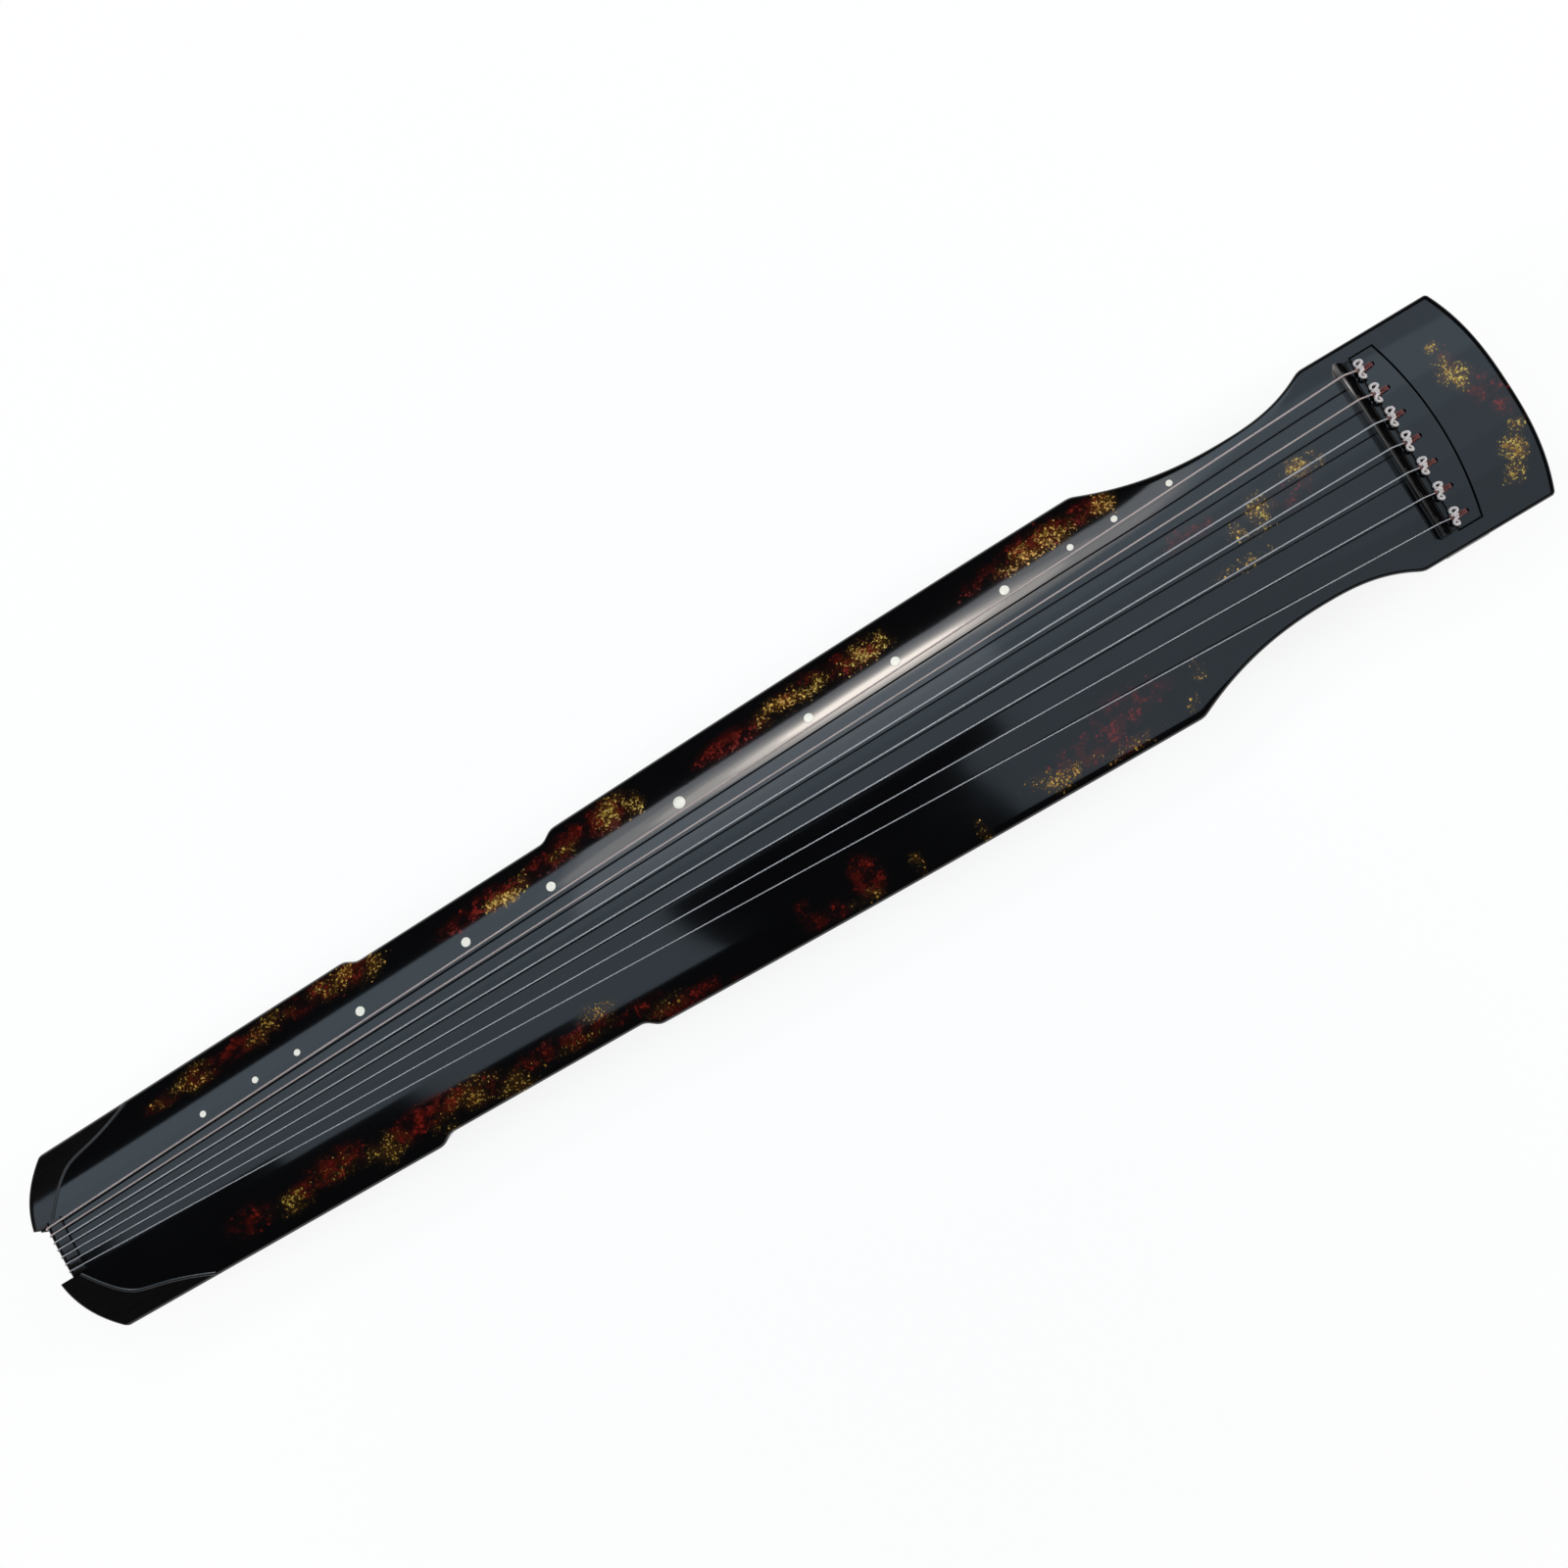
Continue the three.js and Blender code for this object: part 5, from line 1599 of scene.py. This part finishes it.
# Strings: steel cored, the two thickest wound with copper wire and the rest with silver.
# Each runs over the bridge and the nut, under the tail, and is wound round a foot.
string_thickness = [1.5, 1.35, 1.2, 1.1, 1, 0.9, 0.8]
string_lift = 0.3 * mm
string_from_knot = 1 * mm
copper_strings = 2
wire_sides = 14
wire_bend = 1.6 * mm
wire_bend_steps = 5
bend_steps = 8
wind_turns = 2.5
wind_steps = 40
wind_gap = 0.5 * mm
winding_pitch = 0.3 * mm
far_foot_strings = 4
foot_neck = 8 * mm
foot_flange_height = 4 * mm
foot_half_spacing = 46 * mm
foot_x = bridge_x - 784 * mm


def winding_finish(name, dark, light):
    """A fine wire closely wound round a core, with a soft shine."""
    finish = Finish(name)
    turns = finish.attribute("along") * (2 * math.pi / winding_pitch)
    ribs = finish.node("ShaderNodeMath", {"operation": "SINE"}, {0: turns})
    cloud = finish.noise(40, 3)
    tone = finish.blend(cloud, colour(*dark), colour(*light))
    finish.bump(ribs, 0.006 * mm, 0.5)
    return finish.give(Base_Color=tone, Metallic=0.5, Roughness=finish.between(cloud, 0.4, 0.52))


copper_dark, copper_light = (0.4, 0.31, 0.29), (0.6, 0.5, 0.48)
silver_dark, silver_light = (0.36, 0.36, 0.38), (0.54, 0.54, 0.56)
copper_wire = winding_finish("copper_wound_string", copper_dark, copper_light)
silver_wire = winding_finish("silver_string", silver_dark, silver_light)


def bend(centre_x, centre_z, y, radius, start, end):
    """A quarter turn in the plane along the board."""
    return [
        (centre_x + radius * math.cos(angle), y, centre_z + radius * math.sin(angle))
        for angle in np.linspace(start, end, bend_steps)
    ]


def wind_start(number):
    """How high up the foot a string's first turn lies, under those already wound there."""
    first = 1 if number <= far_foot_strings else far_foot_strings + 1
    above = string_thickness[first - 1:number - 1]
    used = sum((thick * mm + wind_gap) * (wind_turns + 1) for thick in above)
    top = bottom_z - foot_flange_height - wind_gap
    return top - used - string_thickness[number - 1] * mm / 2


def string_line(number):
    """From the knot over the bridge and the nut, round the tail and on to a foot's windings."""
    radius = string_thickness[number - 1] * mm / 2
    lift = radius + string_lift
    y, end_y = bridge_y(number), nut_y(number)
    way = 1 if number <= far_foot_strings else -1
    start = knot_frame(number) @ Vector((-string_from_knot, 0, 0))
    back = (bridge_x + bridge_top_width, y, bridge_top(y) + lift)
    front = (bridge_x, y, bridge_top(y) + lift)
    turn = nut_round + lift
    round_x = gum_low.x + nut_round
    nut_first = (round_x, end_y, gum_top(end_y) + lift)
    corners = [start, back, front, nut_first]
    head_end = softened(corners, wire_bend, wire_bend_steps, closed=False)[:-1]
    over = bend(round_x, gum_top(end_y) - nut_round, end_y, turn, math.pi / 2, math.pi)
    under = bend(round_x, lower_gum_low.z + nut_round, end_y, turn, math.pi, 1.5 * math.pi)
    gum_back = (lower_gum_high.x, end_y, lower_gum_low.z - lift)
    wrap = foot_neck + lift
    pitch = 2 * radius + wind_gap
    winding = []
    for step in range(int(wind_turns * wind_steps) + 1):
        angle = 2 * math.pi * step / wind_steps
        x = foot_x + wrap * math.sin(angle)
        side = way * (foot_half_spacing - wrap * math.cos(angle))
        winding.append((x, side, wind_start(number) - pitch * step / wind_steps))
    return [*head_end, *over, *under, gum_back, *winding]


for number in string_numbers:
    material = copper_wire if number <= copper_strings else silver_wire
    string = line_piece(f"wound_string_{number}", string_line(number))
    radius = string_thickness[number - 1] * mm / 2
    grown(string, wire, Radius=radius, Sides=wire_sides, Material=material)
    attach(string, "root")
    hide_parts(f"string_{number}")


# Goose feet: two turned hardwood feet in the waist, each on a square tenon that slides into
# its socket. The strings are wound round their necks.
foot_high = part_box("goose_foot_far")[1]
foot_sides = 64
foot_light = (0.03, 0.016, 0.011)
foot_wood = hardwood_finish("dark_hardwood_foot", ebony_dark, foot_light, upright_grain, 0.2, 0.32)
# Radius and height in millimetres
foot_outline = [
    (0, 0), (11.1, 0), (11.5, 0.5), (11.5, 2.6), (11.1, 3.1), (10.4, 3.3), (10.1, 3.7), (9.2, 4.1),
    (8, 4.6), (8, 29.6), (8.6, 30), (12.2, 30.2), (12.9, 30.8), (13, 31.5), (13, 33.4), (12.7, 34),
    (0, 34),
]
foot_profile = [(radius * mm, height * mm) for radius, height in foot_outline]
tenon_half = 7 * mm
for side, way in (("far", 1), ("near", -1)):
    foot = turned(f"turned_foot_{side}", foot_profile, foot_sides, foot_wood)
    tenon = block((-tenon_half, -tenon_half, bottom_z - overrun), (tenon_half, tenon_half, foot_high.z))
    carve(foot, tenon, how="UNION")
    foot.data.transform(Matrix.Translation((foot_x, way * foot_half_spacing, 0)))
    smooth(foot, turned_angle)
    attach(foot, "root")
    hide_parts(f"goose_foot_{side}")


# Peg guards: two shaped hardwood feet under the head, one on either side of the pegs. They
# carry the head end and keep the pegs off the table.
guard_top_half = 30 * mm
guard_sole_half = 18 * mm
guard_belly_share = 0.7
guard_side_points = 15
guard_round = 1.4 * mm
guard_round_steps = 4
guard_round_angle = math.radians(40)
guard_light = (0.02, 0.013, 0.01)
guard_wood = hardwood_finish("dark_hardwood_guard", ebony_dark, guard_light, upright_grain, 0.18, 0.28)


def guard_outline():
    """One long side view, drawn in below the board and straight at the sole."""
    side = []
    top, sole = Vector((guard_top_half, bottom_z)), Vector((guard_sole_half, 0))
    belly = Vector((guard_sole_half, bottom_z * guard_belly_share))
    for share in np.linspace(0, 1, guard_side_points):
        side.append(sole * (1 - share) ** 2 + belly * 2 * share * (1 - share) + top * share ** 2)
    right = [(cord_hole_x + point.x, point.y) for point in side]
    left = [(cord_hole_x - point.x, point.y) for point in reversed(side)]
    return right + left


for side in ("far", "near"):
    low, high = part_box(f"peg_guard_{side}")
    rings = [[(x, y, z) for x, z in guard_outline()] for y in (low.y, high.y)]
    guard = lofted(f"shaped_guard_{side}", rings, guard_wood)
    edge = guard.modifiers.new("rounded edge", "BEVEL")
    edge.width = guard_round
    edge.segments = guard_round_steps
    edge.limit_method = "ANGLE"
    edge.angle_limit = guard_round_angle
    smooth(settled(guard))
    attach(guard, "root")
    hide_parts(f"peg_guard_{side}")


# Floor and surroundings: a pale floor that keeps the object's shadow, and a white horizon
# that polished pieces mirror too, under a dim sky, so that the face mirrors only the lamps.
floor_half = 9
floor_near, floor_far = 0.35, 1.1
floor_glow = 0.86
floor_colour = (0.86, 0.87, 0.88)


def floor_finish():
    """A pale floor. What a camera or a mirror sees of it glows white, most of all far away.

    From below it is clear, so that the underside of the object can be looked at.
    """
    finish = Finish("pale_floor")
    finish.give(Base_Color=colour(*floor_colour), Roughness=0.9)
    rays = put(finish.tree, "ShaderNodeLightPath")
    seen = Shade(rays.outputs["Is Camera Ray"]) + Shade(rays.outputs["Is Glossy Ray"])
    seen = seen + Shade(rays.outputs["Is Transmission Ray"])
    distance = finish.node("ShaderNodeVectorMath", {"operation": "LENGTH"}, {0: finish.place}, "Value")
    sockets = {"Value": distance, "From Min": floor_near, "From Max": floor_far}
    sockets.update({"To Min": floor_glow, "To Max": 1})
    glow_share = finish.node("ShaderNodeMapRange", {"clamp": True}, sockets)
    glow = put(finish.tree, "ShaderNodeEmission", None, {"Color": colour(1, 1, 1), "Strength": 1})
    mixer = put(finish.tree, "ShaderNodeMixShader", None, {0: seen * glow_share})
    plug_in(mixer.inputs[1], finish.shader.outputs[0])
    plug_in(mixer.inputs[2], glow.outputs[0])
    clear = put(finish.tree, "ShaderNodeBsdfTransparent")
    side = put(finish.tree, "ShaderNodeNewGeometry").outputs["Backfacing"]
    seen_through = put(finish.tree, "ShaderNodeMixShader", None, {0: side})
    plug_in(seen_through.inputs[1], mixer.outputs[0])
    plug_in(seen_through.inputs[2], clear.outputs[0])
    plug_in(finish.tree.nodes["Material Output"].inputs["Surface"], seen_through.outputs[0])
    return finish.material


corners = [(-floor_half, -floor_half, 0), (floor_half, -floor_half, 0)]
corners += [(floor_half, floor_half, 0), (-floor_half, floor_half, 0)]
floor = new_piece("floor", corners, [(0, 1, 2, 3)], floor_finish())

sky_level = 0.005
horizon_low, horizon_high = 0.08, 0.3
world = bpy.data.worlds.new("surroundings")
scene.world = world
world.use_nodes = True
sky = world.node_tree
background = sky.nodes["Background"]
background.inputs["Color"].default_value = colour(1, 1, 1)
rays = put(sky, "ShaderNodeLightPath")
direction = put(sky, "ShaderNodeTexCoord")
split = put(sky, "ShaderNodeSeparateXYZ", None, {0: direction.outputs["Generated"]})
sockets = {"Value": split.outputs["Z"], "From Min": horizon_low, "From Max": horizon_high}
sockets.update({"To Min": 1, "To Max": 0})
horizon = Shade(put(sky, "ShaderNodeMapRange", {"clamp": True}, sockets).outputs[0])
mirrored = Shade(rays.outputs["Is Glossy Ray"]) + Shade(rays.outputs["Is Transmission Ray"])
camera_ray = Shade(rays.outputs["Is Camera Ray"])
level = camera_ray + mirrored * horizon + (1 - camera_ray) * sky_level
plug_in(background.inputs["Strength"], level)


# Lamps: wide soft boxes above the object. Their reflections draw the long pale band down
# the lacquer, with a warm streak along its far side and a dark gap between the boxes.
lamp_height = 2.15
lamp_step = 0.03


def soft_box(name, shape, width, depth, energy, tint, place):
    """A lamp with a face of some width, which the camera doesn't see."""
    light = bpy.data.lights.new(name, "AREA")
    light.shape = shape
    light.size, light.size_y = width, depth
    light.energy = energy
    light.color = tint
    made = bpy.data.objects.new(name, light)
    scene.collection.objects.link(made)
    made.location = place
    made.visible_camera = False
    return made


def lamp(name, x_range, y_range, radiance, tint, height=lamp_height, shape="RECTANGLE"):
    """A level soft box that shines down, given by the brightness of its face."""
    width, depth = x_range[1] - x_range[0], y_range[1] - y_range[0]
    energy = radiance * math.pi * width * depth * (math.pi / 4 if shape == "ELLIPSE" else 1)
    place = (sum(x_range) / 2, sum(y_range) / 2, height)
    return soft_box(name, shape, width, depth, energy, tint, place)


cool = (0.78, 0.98, 1.16)
pale = (0.92, 0.98, 1.06)
warm = (1.0, 0.9, 0.8)
box_tail, box_head = -1.78, 1.3
lamp("main_near", (box_tail, box_head), (0.08, 0.4), 0.98, cool)
lamp("main_middle", (box_tail, box_head), (0.4, 0.7), 1.15, cool)
lamp("main_far", (box_tail, box_head), (0.7, 1.14), 1.4, cool)
lamp("main_far_middle", (-0.5, 0.25), (0.55, 1.14), 0.85, pale, lamp_height - lamp_step)
lamp("edge_tail", (box_tail, -0.55), (1.14, 1.64), 1.5, cool)
lamp("edge_middle", (-0.55, 0.66), (1.14, 1.7), 2.6, pale)
lamp("edge_head", (0.66, 0.86), (1.14, 1.7), 1.8, cool)
lamp("edge_tip", (0.86, box_head), (1.14, 1.75), 1, cool)
streak_x, streak_y = 0.05, 1.28
streak_rings = [(0.6, 0.3, 1.4), (0.42, 0.2, 3), (0.27, 0.13, 5.5), (0.17, 0.08, 10)]
for number, (half_x, half_y, radiance) in enumerate(streak_rings, 1):
    x_range = (streak_x - half_x, streak_x + half_x)
    y_range = (streak_y - half_y, streak_y + half_y)
    height = lamp_height - number * lamp_step
    lamp(f"streak_{number}", x_range, y_range, radiance, warm, height, "ELLIPSE")
lamp("near_head_1", (0.19, box_head), (-0.2, 0.08), 0.88, cool)
lamp("near_head_2", (0.11, box_head), (-1.5, -0.2), 0.78, cool)
lamp("near_tail_1", (-1.4, -1.1), (-0.16, 0.08), 0.9, cool)
lamp("near_tail_2", (-1.1, -0.85), (-0.4, 0.08), 0.9, cool)
lamp("near_tail_3", (-0.85, -0.6), (-0.72, 0.08), 0.9, cool)
lamp("near_tail_4", (-0.6, -0.37), (-0.98, 0.08), 0.9, cool)


# Two more stand off to the sides, turned to the middle of the object. Polished pieces don't
# mirror them.
side_size, side_energy = 1.2, 60
for name, place in (("side_head", (2.6, -0.3, 1.9)), ("side_tail", (-2.9, -0.3, 1.9))):
    made = soft_box(name, "SQUARE", side_size, side_size, side_energy, (1, 1, 1), place)
    made.rotation_euler = Vector(place).to_track_quat("Z", "Y").to_euler()
    made.visible_glossy = False


# Camera: above and a little to the head side of the middle, looking down at the face.
camera_place = Vector((0.1817, -0.3019, 2.0262))
view_line = Vector((-0.0755, 0.1621, -0.9839)).normalized()
view_up = Vector((0.5149, 0.8513, 0.1007))
view_up = (view_up - view_line * view_up.dot(view_line)).normalized()
view_right = view_line.cross(view_up)
sensor_width, lens_length = 36, 63.1
camera_data = bpy.data.cameras.new("camera")
camera_data.sensor_width = sensor_width
camera_data.lens = lens_length
camera = bpy.data.objects.new("camera", camera_data)
scene.collection.objects.link(camera)
turn = Matrix((view_right, view_up, -view_line)).transposed()
camera.matrix_world = Matrix.Translation(camera_place) @ turn.to_4x4()
scene.camera = camera
scene.view_settings.view_transform = "Standard"
